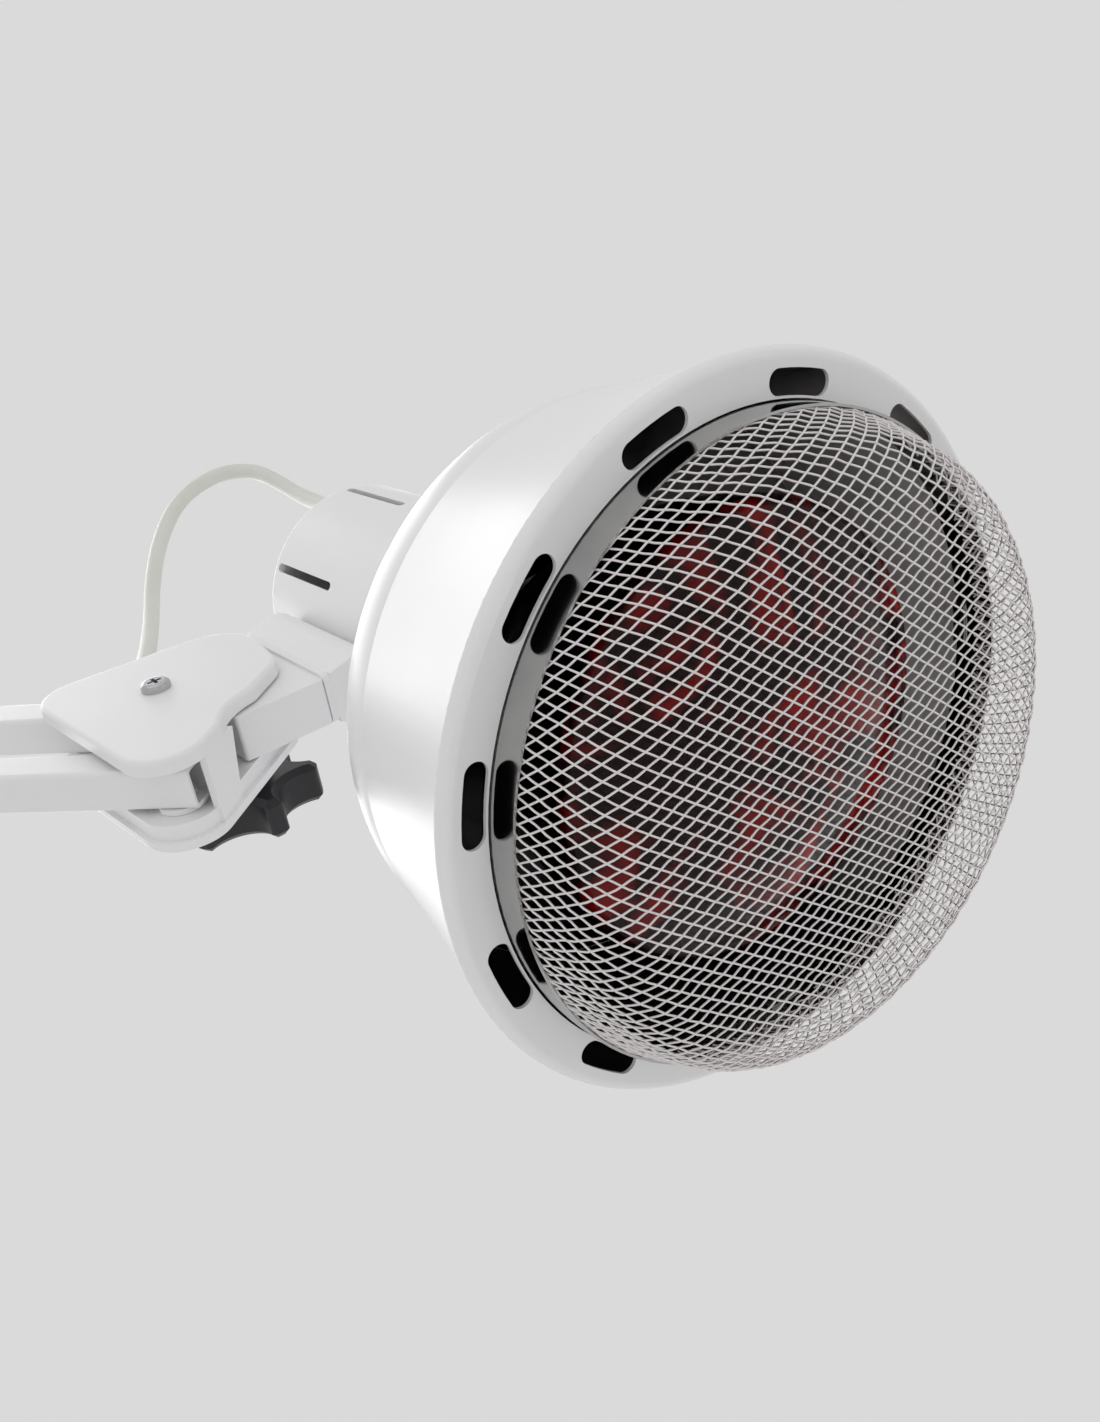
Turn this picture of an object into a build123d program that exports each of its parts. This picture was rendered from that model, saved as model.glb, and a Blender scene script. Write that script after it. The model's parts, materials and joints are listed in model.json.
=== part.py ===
from build123d import *
import math
import os

# Infrared heater lamp on a jointed arm, clamped to a table edge.
# World frame: +Z up, +X forward over the table, origin in the middle of the jaw face that
# rests on the table top. All sizes are in millimetres.

os.makedirs("parts", exist_ok=True)

# Head, in its own frame: z is 0 at the front flange and grows out of the mouth, x points
# from the knuckle to the lamp's axis, y is the direction of the knuckle's pivots
rim_radius = 100.0
rim_roll = 3.0
sheet = 1.0
shade_taper = 14.0
waist_z = -58.0
shoulder = 30.0
flare_sag = 0.8
neck_hole = 30.0
flange_width = 12.4
slot_count = 12
slot_first = 15.0
slot_inset = 8.5
slot_width = 6.6
slot_length = 21.2

hoop_play = 0.4
hoop_sheet = 0.7
hoop_front = 8.8
hoop_rear = -3.0
clip_sheet = 0.7
clip_depth = 3.0
clip_reach = 5.0
clip_angle = 8.0
clip_count = 4

guard_wire = 0.8
guard_inset = 8.7
guard_front = 33.0
guard_round = 16.0
net_margin = 1.6
net_pitch = 8.3
net_strand = 1.0
net_angle_a = -40.0
net_angle_b = 21.3
window_count = 32
window_strand = 2.4
window_height = 10.6
window_first = 1.6

bulb_radius = 62.5
bulb_front = 12.0
bulb_edge_z = -6.0
bulb_edge_radius = 4.0
bulb_wall = 1.2
bowl_middle = (50.5, -50.0)
bowl_end = (26.0, -84.0)
throat_middle = (20.3, -96.0)
bulb_neck = 18.5
bulb_neck_z = -110.0
bulb_seal_z = -134.0
cap_radius = 13.2
cap_skirt = 5.0
cap_end_z = -161.0
contact_radius = 5.0
contact_end_z = -166.0
stem_glass = 4.0
bead_z = -100.0
bead_height = 2.0
bead_lip = 1.5
filament_radius = 12.0
filament_angle = 300.0
filament_z = -62.0
filament_wire = 0.6

holder_radius = 21.0
holder_base = 24.0
holder_front_z = -140.0
holder_rear_z = -184.0
holder_foot = 8.0
holder_edge = 1.5
holder_play = 0.3
holder_screw_y = (-16.0, 16.0)
holder_screw_length = 8.0
bracket_sheet = 2.0
bracket_width = 18.0
bracket_tab = 13.0
bracket_ear = 5.0
bracket_ear_width = 16.0
cable_hole = 5.0

housing_radius = 38.4
housing_wall = 1.8
housing_rear = -204.0
housing_edge = 1.5
vent_count = 6
vent_first = 28.0
vent_width = 3.0
vent_length = 37.0
vent_edge = 3.0
boss_radius = 3.8
boss_height = 12.0
boss_circle = 32.6
boss_rib = 2.4
cap_sheet = 2.5
cap_play = 0.2
cap_recess = 1.0
cap_edge = 0.6
cap_screw_x = 31.0
screw_shank = 1.5
screw_head = 2.9
screw_head_height = 1.8
screw_cross = (2.4, 0.7)
screw_cross_depth = 0.6
shade_screw_length = 9.0
cap_screw_length = 10.0
saddle_screw_bite = 9.0

gland_radius = 6.0
gland_tip = 4.4
gland_length = 13.0
gland_collar = 3.0
gland_lip = 1.0
gland_lip_height = 1.6
gland_y = 29.5
cord_diameter = 6.0
cord_route = [
    (0.0, 29.5, -216.0),
    (0.0, 29.5, -236.0),
    (0.5, 33.0, -256.0),
    (-2.0, 37.0, -273.0),
    (-12.0, 36.5, -287.0),
    (-29.0, 30.0, -291.0),
    (-45.0, 21.0, -279.0),
    (-59.0, 12.0, -260.0),
    (-71.0, 4.0, -238.0),
    (-84.0, 0.0, -215.0),
    (-97.0, 0.0, -193.0),
]

# Knuckle, in the head's frame: the pivots of the two bars and of the head
front_pivot = (-114.0, -121.0)
rear_pivot = (-117.0, -180.0)
tilt_pivot = (-80.0, -168.0)
nose_centre = (-78.2, -151.0)
rear_lobe_centre = (-118.0, -177.5)
cover_screw_place = (-100.4, -157.6)
lobe_radius = 13.0
rear_lobe = 12.4
tilt_lobe = 18.5
nose_radius = 14.0
plate_gap = 16.4
cover_thickness = 4.8
body_thickness = 5.0
body_inset = 0.8
rim_thickness = 3.4
rim_reach = 0.8
cover_edge = 1.6
waist_centre = (-76.3, -107.2)
waist_scoop = 24.0
waist_round = 8.0
web_thickness = 2.2
web_start = -2.4
web_end = 16.0
web_foot = 10.0
standoff_radius = 5.0
cover_screw_radius = 4.6
cover_screw_height = 2.6
cover_screw_edge = 1.4
cover_screw_shank = 1.8
cover_screw_length = 16.0
cover_screw_play = 0.4
cover_cross = (4.4, 1.1)
cover_cross_depth = 1.4
bush_half = 4.8
bush_length = 7.0
bush_edge = 0.8

stem_width = 15.0
stem_front = -127.0
stem_left = -90.0
stem_right = -59.5
stem_eye = 16.0
stem_rear = -184.0
stem_edge = 1.2
saddle_thickness = 2.5
saddle_width = 17.0
saddle_corner = 3.0
saddle_root = 28.0
saddle_blend = 8.0
saddle_screw_step = 24.0

# Pivots: pins, bushes, bolts and hand knobs
pin_radius = 3.0
running = 0.05
seat_play = 0.1
pin_bite = 3.6
bush_radius = 5.0
bush_flange = 7.0
bolt_head_radius = 5.6
bolt_head_height = 3.0
washer_radius = 11.0
washer_play = 0.05
knob_washer_radius = 9.0
knob_washer_height = 1.2
knob_seat = 1.4
knob_radius = 26.0
knob_height = 14.0
knob_hub = 10.5
knob_hub_height = 14.0
knob_lobes = 6
knob_scallop = 11.0
knob_scallop_depth = 8.5
knob_tip = 2.0
knob_edge = 2.0
knob_bite = 20.0
bolt_tip = 1.5

# Arm: two pairs of parallel square tubes
bar_width = 12.8
bar_wall = 1.2
bar_corner = 1.5
bar_overhang = 8.2
lower_length = 400.0
upper_length = 380.0
lower_angle = 105.0
upper_angle = -35.0
head_angle = -75.0
foot_pivot = (12.0, 66.0)
lower_spread = (-40.0, 12.0)
elbow_offset = (28.0, 24.0)
grommet_height = 45.0
grommet_radius = 4.6
grommet_neck = 3.4
grommet_bore = 2.2
grommet_sheet = 2.0
elbow_screw_shares = (0.42, 0.55)

# Foot: swivel fork, post and table clamp
fork_sheet = 3.0
fork_lobe = 12.0
fork_floor = 42.0
fork_back = -32.0
fork_nose = 16.0
post_x = -8.0
post_radius = 6.35
post_play = 0.1
post_bottom = 10.0
post_rivet = 7.8
post_rivet_top = 4.8
post_rivet_height = 2.2
post_shoulder = 1.0
post_edge = 0.8
pin_head = 5.0
pin_head_height = 1.8
socket_radius = 11.0
socket_top = 41.0
socket_edge = 1.0
post_end_play = 0.5
jaw_width = 45.0
jaw_thickness = 6.0
jaw_back = -31.0
jaw_front = 30.0
jaw_corner = 6.0
jaw_rubber = 2.0
rubber_inset = 1.0
spine_thickness = 6.0
spine_width = 30.0
spine_rib = 6.0
spine_rib_depth = 5.0
clamp_bottom = -78.0
clamp_arm = 8.0
clamp_arm_width = 24.0
nut_radius = 10.0
nut_overhang = 4.0
screw_radius = 5.0
screw_play = 0.1
screw_bottom = -114.0
screw_cap_radius = 8.0
screw_cap_height = 14.0
screw_cap_edge = 1.0
ball_radius = 4.8
ball_neck = 3.0
ball_play = 0.3
ball_depth = 3.6
pad_radius = 15.0
pad_height = 9.0
pad_edge = 2.0
pad_rim_edge = 0.8
throat_play = 0.8
table_thickness = 25.0
handle_radius = 3.0
handle_length = 64.0
handle_end = 4.6
handle_end_length = 7.0
handle_end_edge = 1.2

# Faces and levels that follow from the sizes above
half_gap = plate_gap / 2
rim_start = half_gap + body_thickness
body_back = rim_start + rim_thickness
fork_face = half_gap + fork_sheet
waist_radius = rim_radius - shade_taper
back_z = waist_z - shoulder
flange_rear = -sheet
flange_inner = rim_radius - flange_width
slot_radius = rim_radius - slot_inset
hoop_radius = flange_inner - hoop_play
guard_crease = hoop_radius - guard_inset
window_width = math.tau * guard_crease / window_count - window_strand
cap_front = housing_rear + cap_recess + cap_sheet
saddle_middle = (stem_front + stem_rear) / 2
saddle_face = stem_right + saddle_thickness
saddle_screw_z = (saddle_middle - saddle_screw_step / 2, saddle_middle + saddle_screw_step / 2)
saddle_seat_x = housing_wall - housing_radius + 2 * seat_play
saddle_screw_length = saddle_seat_x - stem_right + saddle_screw_bite
jaw_top = jaw_rubber + jaw_thickness
pad_top = -table_thickness
pad_bottom = pad_top - pad_height
ball_z = pad_bottom + ball_depth
handle_z = screw_bottom - screw_cap_height / 2
HEAD_SIDE = 1
WORLD_SIDE = -1
diagonal = math.sqrt(0.5)


def direction(angle):
    """Unit vector in x and z at this angle above +x."""
    return math.cos(math.radians(angle)), math.sin(math.radians(angle))


def shifted(point, way, distance):
    """Point in x and z, moved by a distance along a unit vector."""
    return point[0] + way[0] * distance, point[1] + way[1] * distance


# Places of the arm's pivots in the world's x and z, from the foot up to the head
lower_way = direction(lower_angle)
upper_way = direction(upper_angle)
head_way = direction(head_angle)
side_way = (-head_way[1], head_way[0])


def head_to_world(point):
    """A point given in the head's x and z, in the world's x and z but from the head's origin."""
    return (
        point[0] * side_way[0] + point[1] * head_way[0],
        point[0] * side_way[1] + point[1] * head_way[1],
    )


foot_rear = (foot_pivot[0] + lower_spread[0], foot_pivot[1] + lower_spread[1])
elbow_low = shifted(foot_pivot, lower_way, lower_length)
elbow_low_rear = (elbow_low[0] + lower_spread[0], elbow_low[1] + lower_spread[1])
elbow_high = (elbow_low[0] + elbow_offset[0], elbow_low[1] + elbow_offset[1])
knuckle_front = shifted(elbow_high, upper_way, upper_length)
front_in_world = head_to_world(front_pivot)
rear_in_world = head_to_world(rear_pivot)
head_origin = (knuckle_front[0] - front_in_world[0], knuckle_front[1] - front_in_world[1])
knuckle_rear = (head_origin[0] + rear_in_world[0], head_origin[1] + rear_in_world[1])
upper_spread = (knuckle_rear[0] - knuckle_front[0], knuckle_rear[1] - knuckle_front[1])
elbow_high_rear = (elbow_high[0] + upper_spread[0], elbow_high[1] + upper_spread[1])
tilt_in_world = head_to_world(tilt_pivot)
tilt_world = (head_origin[0] + tilt_in_world[0], head_origin[1] + tilt_in_world[1])

elbow_pivots = (elbow_low, elbow_low_rear, elbow_high_rear, elbow_high)

# The upper bars' way and the way across them, seen in the head's x and z
upper_head_way = (
    upper_way[0] * side_way[0] + upper_way[1] * side_way[1],
    upper_way[0] * head_way[0] + upper_way[1] * head_way[1],
)
upper_head_across = (upper_head_way[1], -upper_head_way[0])

HEAD = Plane(
    origin=(head_origin[0], 0, head_origin[1]),
    x_dir=(side_way[0], 0, side_way[1]),
    z_dir=(head_way[0], 0, head_way[1]),
).location


def save(shape, name, place=None):
    """Write one piece, moved from the head's frame to the world's where a place is given."""
    export_step(place * shape if place else shape, f"parts/{name}.step")


def slab(outline, near, far, side=1):
    """Flat piece with an outline in x and z, between two distances from the middle plane."""
    low, high = sorted((side * near, side * far))
    return extrude(Plane.XZ.offset(-high) * outline, amount=high - low)


def rod(place, radius, near, far, side=1):
    """Round piece along y at a place in x and z."""
    return slab(Pos(*place) * Circle(radius), near, far, side)


def hull_of(rounds, edges=()):
    """Outline pulled tight round some circles, given as centre and radius, and extra edges."""
    rings = [(Pos(*centre) * Circle(radius)).edges() for centre, radius in rounds]
    return make_hull([edge for ring in rings for edge in ring] + list(edges))


def turned(profile):
    """Solid of revolution of a profile drawn in radius and z."""
    return revolve(Plane.XZ * profile, Axis.Z)


def around(shape, count, first=0.0):
    """Copies of a shape, evenly spaced about the lamp's axis."""
    return [Rot(0, 0, first + index * 360 / count) * shape for index in range(count)]


def skin_profile(edges, thickness):
    """Closed profile of a sheet that follows a chain of edges on its outer side."""
    line = Wire(edges)
    return make_face(line.offset_2d(thickness, side=Side.RIGHT, closed=True))


# Shade

def shade():
    """Spun steel bell with a flat back; its edge seats in the rolled ring."""
    middle = ((rim_radius + waist_radius) / 2 - flare_sag, (waist_z - rim_roll) / 2)
    shoulder_centre = (waist_radius - shoulder, waist_z)
    edges = [
        ThreePointArc((rim_radius, -rim_roll), middle, (waist_radius, waist_z)),
        ThreePointArc(
            (waist_radius, waist_z),
            (shoulder_centre[0] + shoulder * diagonal, waist_z - shoulder * diagonal),
            (shoulder_centre[0], back_z),
        ),
        Line((shoulder_centre[0], back_z), (neck_hole, back_z)),
    ]
    behind_ring = Pos(0, -rim_roll) * Rectangle(
        2 * rim_radius, 2 * rim_radius, align=(Align.MIN, Align.MAX)
    )
    bell = turned(skin_profile(edges, sheet) & behind_ring)
    screw_hole = Pos(boss_circle, 0, back_z) * Cylinder(screw_shank + running, 4 * sheet)
    return bell - around(screw_hole, 3)


def shade_ring():
    """Pressed ring on the bell's edge: a rolled rim and an inward flange of vent slots."""
    roll_start = rim_radius - rim_roll
    edges = [
        Line((flange_inner, 0), (roll_start, 0)),
        ThreePointArc(
            (roll_start, 0),
            (roll_start + rim_roll * diagonal, rim_roll * (diagonal - 1)),
            (rim_radius, -rim_roll),
        ),
    ]
    ring = turned(skin_profile(edges, sheet))
    half_angle = math.degrees((slot_length - slot_width) / 2 / slot_radius)
    centre_line = CenterArc((0, 0), slot_radius, -half_angle, 2 * half_angle)
    slot = extrude(Pos(0, 0, -2 * sheet) * SlotArc(centre_line, slot_width), amount=3 * sheet)
    return ring - around(slot, slot_count, slot_first)


# Wire guard

def guard_hoop():
    """Polished ring that stands out of the flange's inner edge."""
    return turned(
        Pos(hoop_radius - hoop_sheet, hoop_rear)
        * Rectangle(hoop_sheet, hoop_front - hoop_rear, align=Align.MIN)
    )


def guard_clips():
    """Sprung U clips that hook round the hoop's rear edge and bear on the flange's back."""
    inner = hoop_radius - hoop_sheet - seat_play
    foot = hoop_rear - seat_play
    heel = foot - clip_sheet
    top = flange_rear - seat_play
    outer = hoop_radius + clip_reach
    section = Polygon(
        (inner - clip_sheet, heel),
        (outer, heel),
        (outer, top),
        (outer - clip_sheet, top),
        (outer - clip_sheet, foot),
        (inner, foot),
        (inner, foot + clip_depth),
        (inner - clip_sheet, foot + clip_depth),
        align=None,
    )
    clip = Rot(0, 0, -clip_angle / 2) * revolve(Plane.XZ * section, Axis.Z, clip_angle)
    return Compound(around(clip, clip_count))


# The guard's side leans in from its root, then bends over to the flat net
guard_root = hoop_radius - hoop_sheet - seat_play
side_lean = 90 + math.degrees(math.atan2(guard_root - guard_crease, guard_front - hoop_front))
side_slope = direction(side_lean)
bend_turn = 180 - side_lean
bend_reach = guard_round * math.tan(math.radians(bend_turn / 2))
bend_start = shifted((guard_crease, guard_front), side_slope, -bend_reach)
net_radius = guard_crease - bend_reach
bend_centre = (net_radius, guard_front - guard_round)
bend_end = (net_radius, guard_front)
bend_middle = shifted(bend_centre, direction(side_lean / 2), guard_round)


def guard_net_face():
    """Flat front of the guard: a disc with one diamond gap for each cell of the net."""
    way_a = Vector(1, 0).rotate(Axis.Z, net_angle_a)
    way_b = Vector(1, 0).rotate(Axis.Z, net_angle_b)
    crossing = math.sin(math.radians(net_angle_b - net_angle_a))
    cell = net_pitch / crossing
    gap = (net_pitch - net_strand) / crossing
    reach = net_radius - net_margin
    limit = Circle(reach)
    count = int(reach / net_pitch) + 2
    gaps = []
    for row in range(-count, count + 1):
        for column in range(-count, count + 1):
            centre = (way_a * row + way_b * column) * cell
            corners = [
                centre + (way_a * turn_a + way_b * turn_b) * (gap / 2)
                for turn_a, turn_b in ((-1, -1), (1, -1), (1, 1), (-1, 1))
            ]
            farthest = max(corner.length for corner in corners)
            if farthest < reach:
                gaps.append(Wire.make_polygon(corners))
            elif centre.length < reach - net_strand:
                part = make_face(Wire.make_polygon(corners)) & limit
                gaps += [face.outer_wire() for face in part.faces() if face.area > net_pitch]
    return Face(Wire.make_circle(net_radius), gaps), len(gaps)


def guard_mesh():
    """Drawn basket: a slanted side that bends over into the net, with two rows of windows."""
    edges = [
        ThreePointArc(bend_end, bend_middle, bend_start),
        Line(bend_start, (guard_root, hoop_front)),
        Line((guard_root, hoop_front), (guard_root, hoop_front / 3)),
    ]
    skirt = turned(skin_profile(edges, guard_wire))
    straight = shifted((guard_root, hoop_front), side_slope, window_first + window_height / 2)
    rows = ((straight, side_lean), (bend_middle, side_lean + bend_turn / 2))
    diamond = Polygon(
        (-window_width / 2, 0),
        (0, -window_height / 2),
        (window_width / 2, 0),
        (0, window_height / 2),
    )
    cutters = []
    for row, (place, lean) in enumerate(rows):
        outward = direction(lean - 90)
        plane = Plane((place[0], 0, place[1]), x_dir=(0, 1, 0), z_dir=(outward[0], 0, outward[1]))
        cutter = extrude(plane * diamond, amount=3 * guard_wire, both=True)
        cutters += around(cutter, window_count, row * 180 / window_count)
    net, gap_count = guard_net_face()
    front = extrude(Pos(0, 0, guard_front - guard_wire) * net, amount=guard_wire)
    print("net gaps", gap_count, "side windows", len(cutters))
    return skirt - cutters + front


# Reflector bulb and what holds it

def bulb_glass():
    """Blown reflector bulb: a shallow dome in front, a bowl and a neck behind."""
    dome_edge = (bulb_radius - bulb_edge_radius, bulb_edge_z + bulb_edge_radius)
    rise = bulb_front - dome_edge[1]
    dome_radius = (dome_edge[0] ** 2 + rise**2) / (2 * rise)
    half_reach = dome_edge[0] / 2
    half_z = bulb_front - dome_radius + math.sqrt(dome_radius**2 - half_reach**2)
    edge_middle = shifted((dome_edge[0], bulb_edge_z), (diagonal, diagonal), bulb_edge_radius)
    edges = [
        ThreePointArc((0, bulb_front), (half_reach, half_z), dome_edge),
        ThreePointArc(dome_edge, edge_middle, (bulb_radius, bulb_edge_z)),
        ThreePointArc((bulb_radius, bulb_edge_z), bowl_middle, bowl_end),
        ThreePointArc(bowl_end, throat_middle, (bulb_neck, bulb_neck_z)),
        Line((bulb_neck, bulb_neck_z), (bulb_neck, bulb_seal_z)),
    ]
    right_half = Pos(0, contact_end_z) * Rectangle(2 * bulb_radius, 2 * rim_radius, align=Align.MIN)
    return turned(skin_profile(edges, bulb_wall) & right_half)


def bulb_cap():
    """Pressed brass screw cap with its foot contact."""
    return turned(
        Polygon(
            (bulb_neck, bulb_seal_z),
            (cap_radius, bulb_seal_z - cap_skirt),
            (cap_radius, cap_end_z),
            (contact_radius, cap_end_z),
            (contact_radius, contact_end_z),
            (0, contact_end_z),
            (0, cap_end_z + bulb_wall),
            (cap_radius - bulb_wall, cap_end_z + bulb_wall),
            (cap_radius - bulb_wall, bulb_seal_z),
            align=None,
        )
    )


def bulb_filament():
    """Glass stem with a bead, two lead wires and an open ring of filament."""
    seal_radius = bulb_neck - bulb_wall - seat_play
    stem = turned(
        Polygon(
            (0, bulb_seal_z),
            (seal_radius, bulb_seal_z),
            (stem_glass, bulb_seal_z + 2 * stem_glass),
            (stem_glass, bead_z),
            (filament_radius + bead_lip, bead_z),
            (filament_radius + bead_lip, bead_z + bead_height),
            (0, bead_z + bead_height),
            align=None,
        )
    )
    lead_length = filament_z - bead_z
    lead = Pos(filament_radius, 0, bead_z + lead_length / 2) * Cylinder(filament_wire, lead_length)
    path = CenterArc((0, 0), filament_radius, 0, filament_angle)
    start = Plane((filament_radius, 0, 0), z_dir=(0, 1, 0))
    ring = Pos(0, 0, filament_z) * sweep(start * Circle(filament_wire), path=path)
    supports = [Rot(0, 0, filament_angle * share) * lead for share in (0.5, 1)]
    return stem + lead + supports + ring


def lampholder():
    """Glazed ceramic screw lampholder, a cup on a wider base."""
    bore = cap_radius + holder_play
    floor = contact_end_z - holder_play
    step_z = holder_rear_z + holder_foot
    cup = turned(
        Polygon(
            (0, holder_rear_z),
            (holder_base - holder_edge, holder_rear_z),
            (holder_base, holder_rear_z + holder_edge),
            (holder_base, step_z),
            (holder_radius, step_z + holder_edge),
            (holder_radius, holder_front_z - holder_edge),
            (holder_radius - holder_edge, holder_front_z),
            (bore, holder_front_z),
            (bore, floor),
            (0, floor),
            align=None,
        )
    )
    hole = Cylinder(screw_shank, 2 * holder_screw_length)
    return cup - [Pos(0, y, holder_rear_z) * hole for y in holder_screw_y]


def lampholder_bracket():
    """Steel strap across the housing, with two tabs along its wall and a cable hole."""
    top = holder_rear_z
    tab_x = math.sqrt((housing_radius - housing_wall) ** 2 - (bracket_width / 2) ** 2) - seat_play
    strap = Pos(0, 0, top) * Box(
        2 * tab_x, bracket_width, bracket_sheet, align=(Align.CENTER, Align.CENTER, Align.MAX)
    )
    ears = Pos(0, 0, top) * extrude(
        Plane.XY * Rectangle(bracket_ear_width, 2 * (holder_screw_y[1] + bracket_ear)),
        amount=-bracket_sheet,
    )
    tab = Pos(tab_x, 0, top) * Box(
        bracket_sheet, bracket_width, bracket_tab, align=(Align.MAX, Align.CENTER, Align.MIN)
    )
    through = 4 * bracket_sheet
    holes = [Pos(0, y, top) * Cylinder(screw_shank + running, through) for y in holder_screw_y]
    lead_hole = Pos(0, 0, top) * Cylinder(cable_hole, through)
    return strap + ears + tab + Rot(0, 0, 180) * tab - holes - lead_hole


def pan_screw(length):
    """Small pan-head screw: its head seats at z 0 and the shank runs down."""
    shank = Cylinder(screw_shank, length, align=(Align.CENTER, Align.CENTER, Align.MAX))
    head = Cylinder(
        screw_head, screw_head_height, align=(Align.CENTER, Align.CENTER, Align.MIN)
    )
    head = fillet(head.edges().group_by(Axis.Z)[-1], screw_head_height / 2)
    recess = Pos(0, 0, screw_head_height) * Box(*screw_cross, 2 * screw_cross_depth)
    return shank + head - recess - Rot(0, 0, 90) * recess


def lampholder_screws():
    """Two screws through the strap into the lampholder's base."""
    seat_z = holder_rear_z - bracket_sheet
    screw = Rot(180, 0, 0) * pan_screw(holder_screw_length)
    return Compound([Pos(0, y, seat_z) * screw for y in holder_screw_y])


# Socket housing

def screw_boss(circle, front):
    """Hollow boss for a screw, with a rib out to the housing's wall."""
    rib_length = housing_radius - housing_wall / 2 - circle
    upright = (Align.CENTER, Align.CENTER, Align.MIN)
    boss = Cylinder(boss_radius, boss_height, align=upright)
    boss += Box(rib_length, boss_rib, boss_height, align=(Align.MIN, Align.CENTER, Align.MIN))
    return Pos(circle, 0, front) * (boss - Cylinder(screw_shank, 2 * boss_height))


def saddle_neck():
    """The housing's neck for the saddle, flared out to the housing's wall and blended in."""
    root_x = -math.sqrt(housing_radius**2 - (saddle_root / 2) ** 2)
    flare = Polygon(
        (saddle_face, -saddle_width / 2),
        (saddle_face, saddle_width / 2),
        (root_x, saddle_root / 2),
        (root_x, -saddle_root / 2),
        align=None,
    )
    outline = Circle(housing_radius) + flare
    root_corners = outline.vertices().sort_by(Axis.X)[2:4]
    outline = fillet(root_corners, saddle_blend) - Circle(housing_radius - housing_wall)
    reach = root_x + saddle_blend / 2 - saddle_face
    window = Rectangle(reach, 2 * saddle_root, align=(Align.MIN, Align.CENTER))
    outline = outline & Pos(saddle_face, 0) * window
    return extrude(Pos(0, 0, stem_rear) * outline, amount=stem_front - stem_rear, dir=(0, 0, 1))


def housing():
    """Moulded tube with six long vents, screw bosses and the neck that takes the saddle."""
    inside = housing_radius - housing_wall
    length = back_z - housing_rear
    tube = turned(Pos(inside, housing_rear) * Rectangle(housing_wall, length, align=Align.MIN))
    tube = fillet(tube.edges().group_by(Axis.Z)[0].sort_by(SortBy.LENGTH)[-1:], housing_edge)
    vent_middle = housing_rear + vent_edge + vent_length / 2
    vent = Plane((housing_radius, 0, vent_middle), x_dir=(0, 0, 1), z_dir=(1, 0, 0))
    vent_cut = extrude(vent * SlotOverall(vent_length, vent_width), amount=4.0, both=True)
    rear_boss = screw_boss(cap_screw_x, cap_front)
    body = tube + saddle_neck() - around(vent_cut, vent_count, vent_first)
    body = body + around(screw_boss(boss_circle, back_z - boss_height), 3) + around(rear_boss, 2)
    return body - saddle_screw_holes(screw_shank + running)


def rear_cap():
    """Moulded disc that closes the housing, with the cord's hole and two screws."""
    radius = housing_radius - housing_wall - cap_play
    disc = Pos(0, 0, cap_front - cap_sheet) * Cylinder(
        radius, cap_sheet, align=(Align.CENTER, Align.CENTER, Align.MIN)
    )
    disc = chamfer(disc.edges().group_by(Axis.Z)[0], cap_edge)
    screw_hole = Pos(cap_screw_x, 0, cap_front) * Cylinder(screw_shank + running, 4 * cap_sheet)
    cord_hole = Pos(0, gland_y, cap_front) * Cylinder(gland_tip + running, 4 * cap_sheet)
    return disc - around(screw_hole, 2) - cord_hole


def rear_cap_screws():
    """Two screws from behind into the housing's rear bosses."""
    seat_z = cap_front - cap_sheet
    screw = Pos(cap_screw_x, 0, seat_z) * Rot(180, 0, 0) * pan_screw(cap_screw_length)
    return Compound(around(screw, 2))


def shade_screws():
    """Three screws from inside the bell into the housing's front bosses."""
    return Compound(around(Pos(boss_circle, 0, back_z + sheet) * pan_screw(shade_screw_length), 3))


def cord_gland():
    """Rubber strain relief: a neck through the cap and a tapered nose behind it."""
    seat = cap_front - cap_sheet
    tip = seat - gland_length
    nose = turned(
        Polygon(
            (0, tip),
            (gland_tip, tip),
            (gland_radius, seat - gland_collar),
            (gland_radius, seat),
            (gland_tip, seat),
            (gland_tip, cap_front),
            (gland_tip + gland_lip, cap_front),
            (gland_tip + gland_lip, cap_front + gland_lip_height),
            (0, cap_front + gland_lip_height),
            align=None,
        )
    )
    return Pos(0, gland_y, 0) * nose


def head_cord():
    """Round flex from the gland to the knuckle, as straight runs joined by tangent arcs."""
    start_z = cap_front - cap_sheet - gland_length
    points = [Vector(0, gland_y, start_z)] + [Vector(*point) for point in cord_route[1:]]
    runs = [(after - before) for before, after in zip(points, points[1:])]
    radii = []
    for before, after in zip(runs, runs[1:]):
        turn = math.radians(before.get_angle(after))
        radii.append(0.45 * min(before.length, after.length) / math.tan(turn / 2))
    path = FilletPolyline(*points, radius=radii)
    section = Plane(origin=points[0], z_dir=runs[0]) * Circle(cord_diameter / 2)
    tube = sweep(section, path=path)
    expected = math.pi * (cord_diameter / 2) ** 2 * path.length
    print("cord runs", [round(run.length, 1) for run in runs])
    print("cord radii", [round(radius, 1) for radius in radii])
    print("cord length", round(path.length, 1), "volume ratio", round(tube.volume / expected, 4))
    return tube


# Stem and saddle

def head_stem():
    """Die-cast arm between the knuckle's plates, with the eye of the tilt pivot."""
    block = Pos(stem_left, tilt_pivot[1]) * Rectangle(
        stem_right - stem_left, stem_front - tilt_pivot[1], align=Align.MIN
    )
    tail = Pos(tilt_pivot[0], stem_rear) * Rectangle(
        stem_right - tilt_pivot[0], tilt_pivot[1] - stem_rear, align=Align.MIN
    )
    outline = block + tail + Pos(*tilt_pivot) * Circle(stem_eye)
    arm = slab(outline, -stem_width / 2, stem_width / 2)
    arm = fillet(arm.edges().filter_by(Axis.Y), stem_edge)
    arm = arm - rod(tilt_pivot, pin_radius + running, -stem_width, stem_width)
    return arm - saddle_screw_holes(screw_shank)


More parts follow.
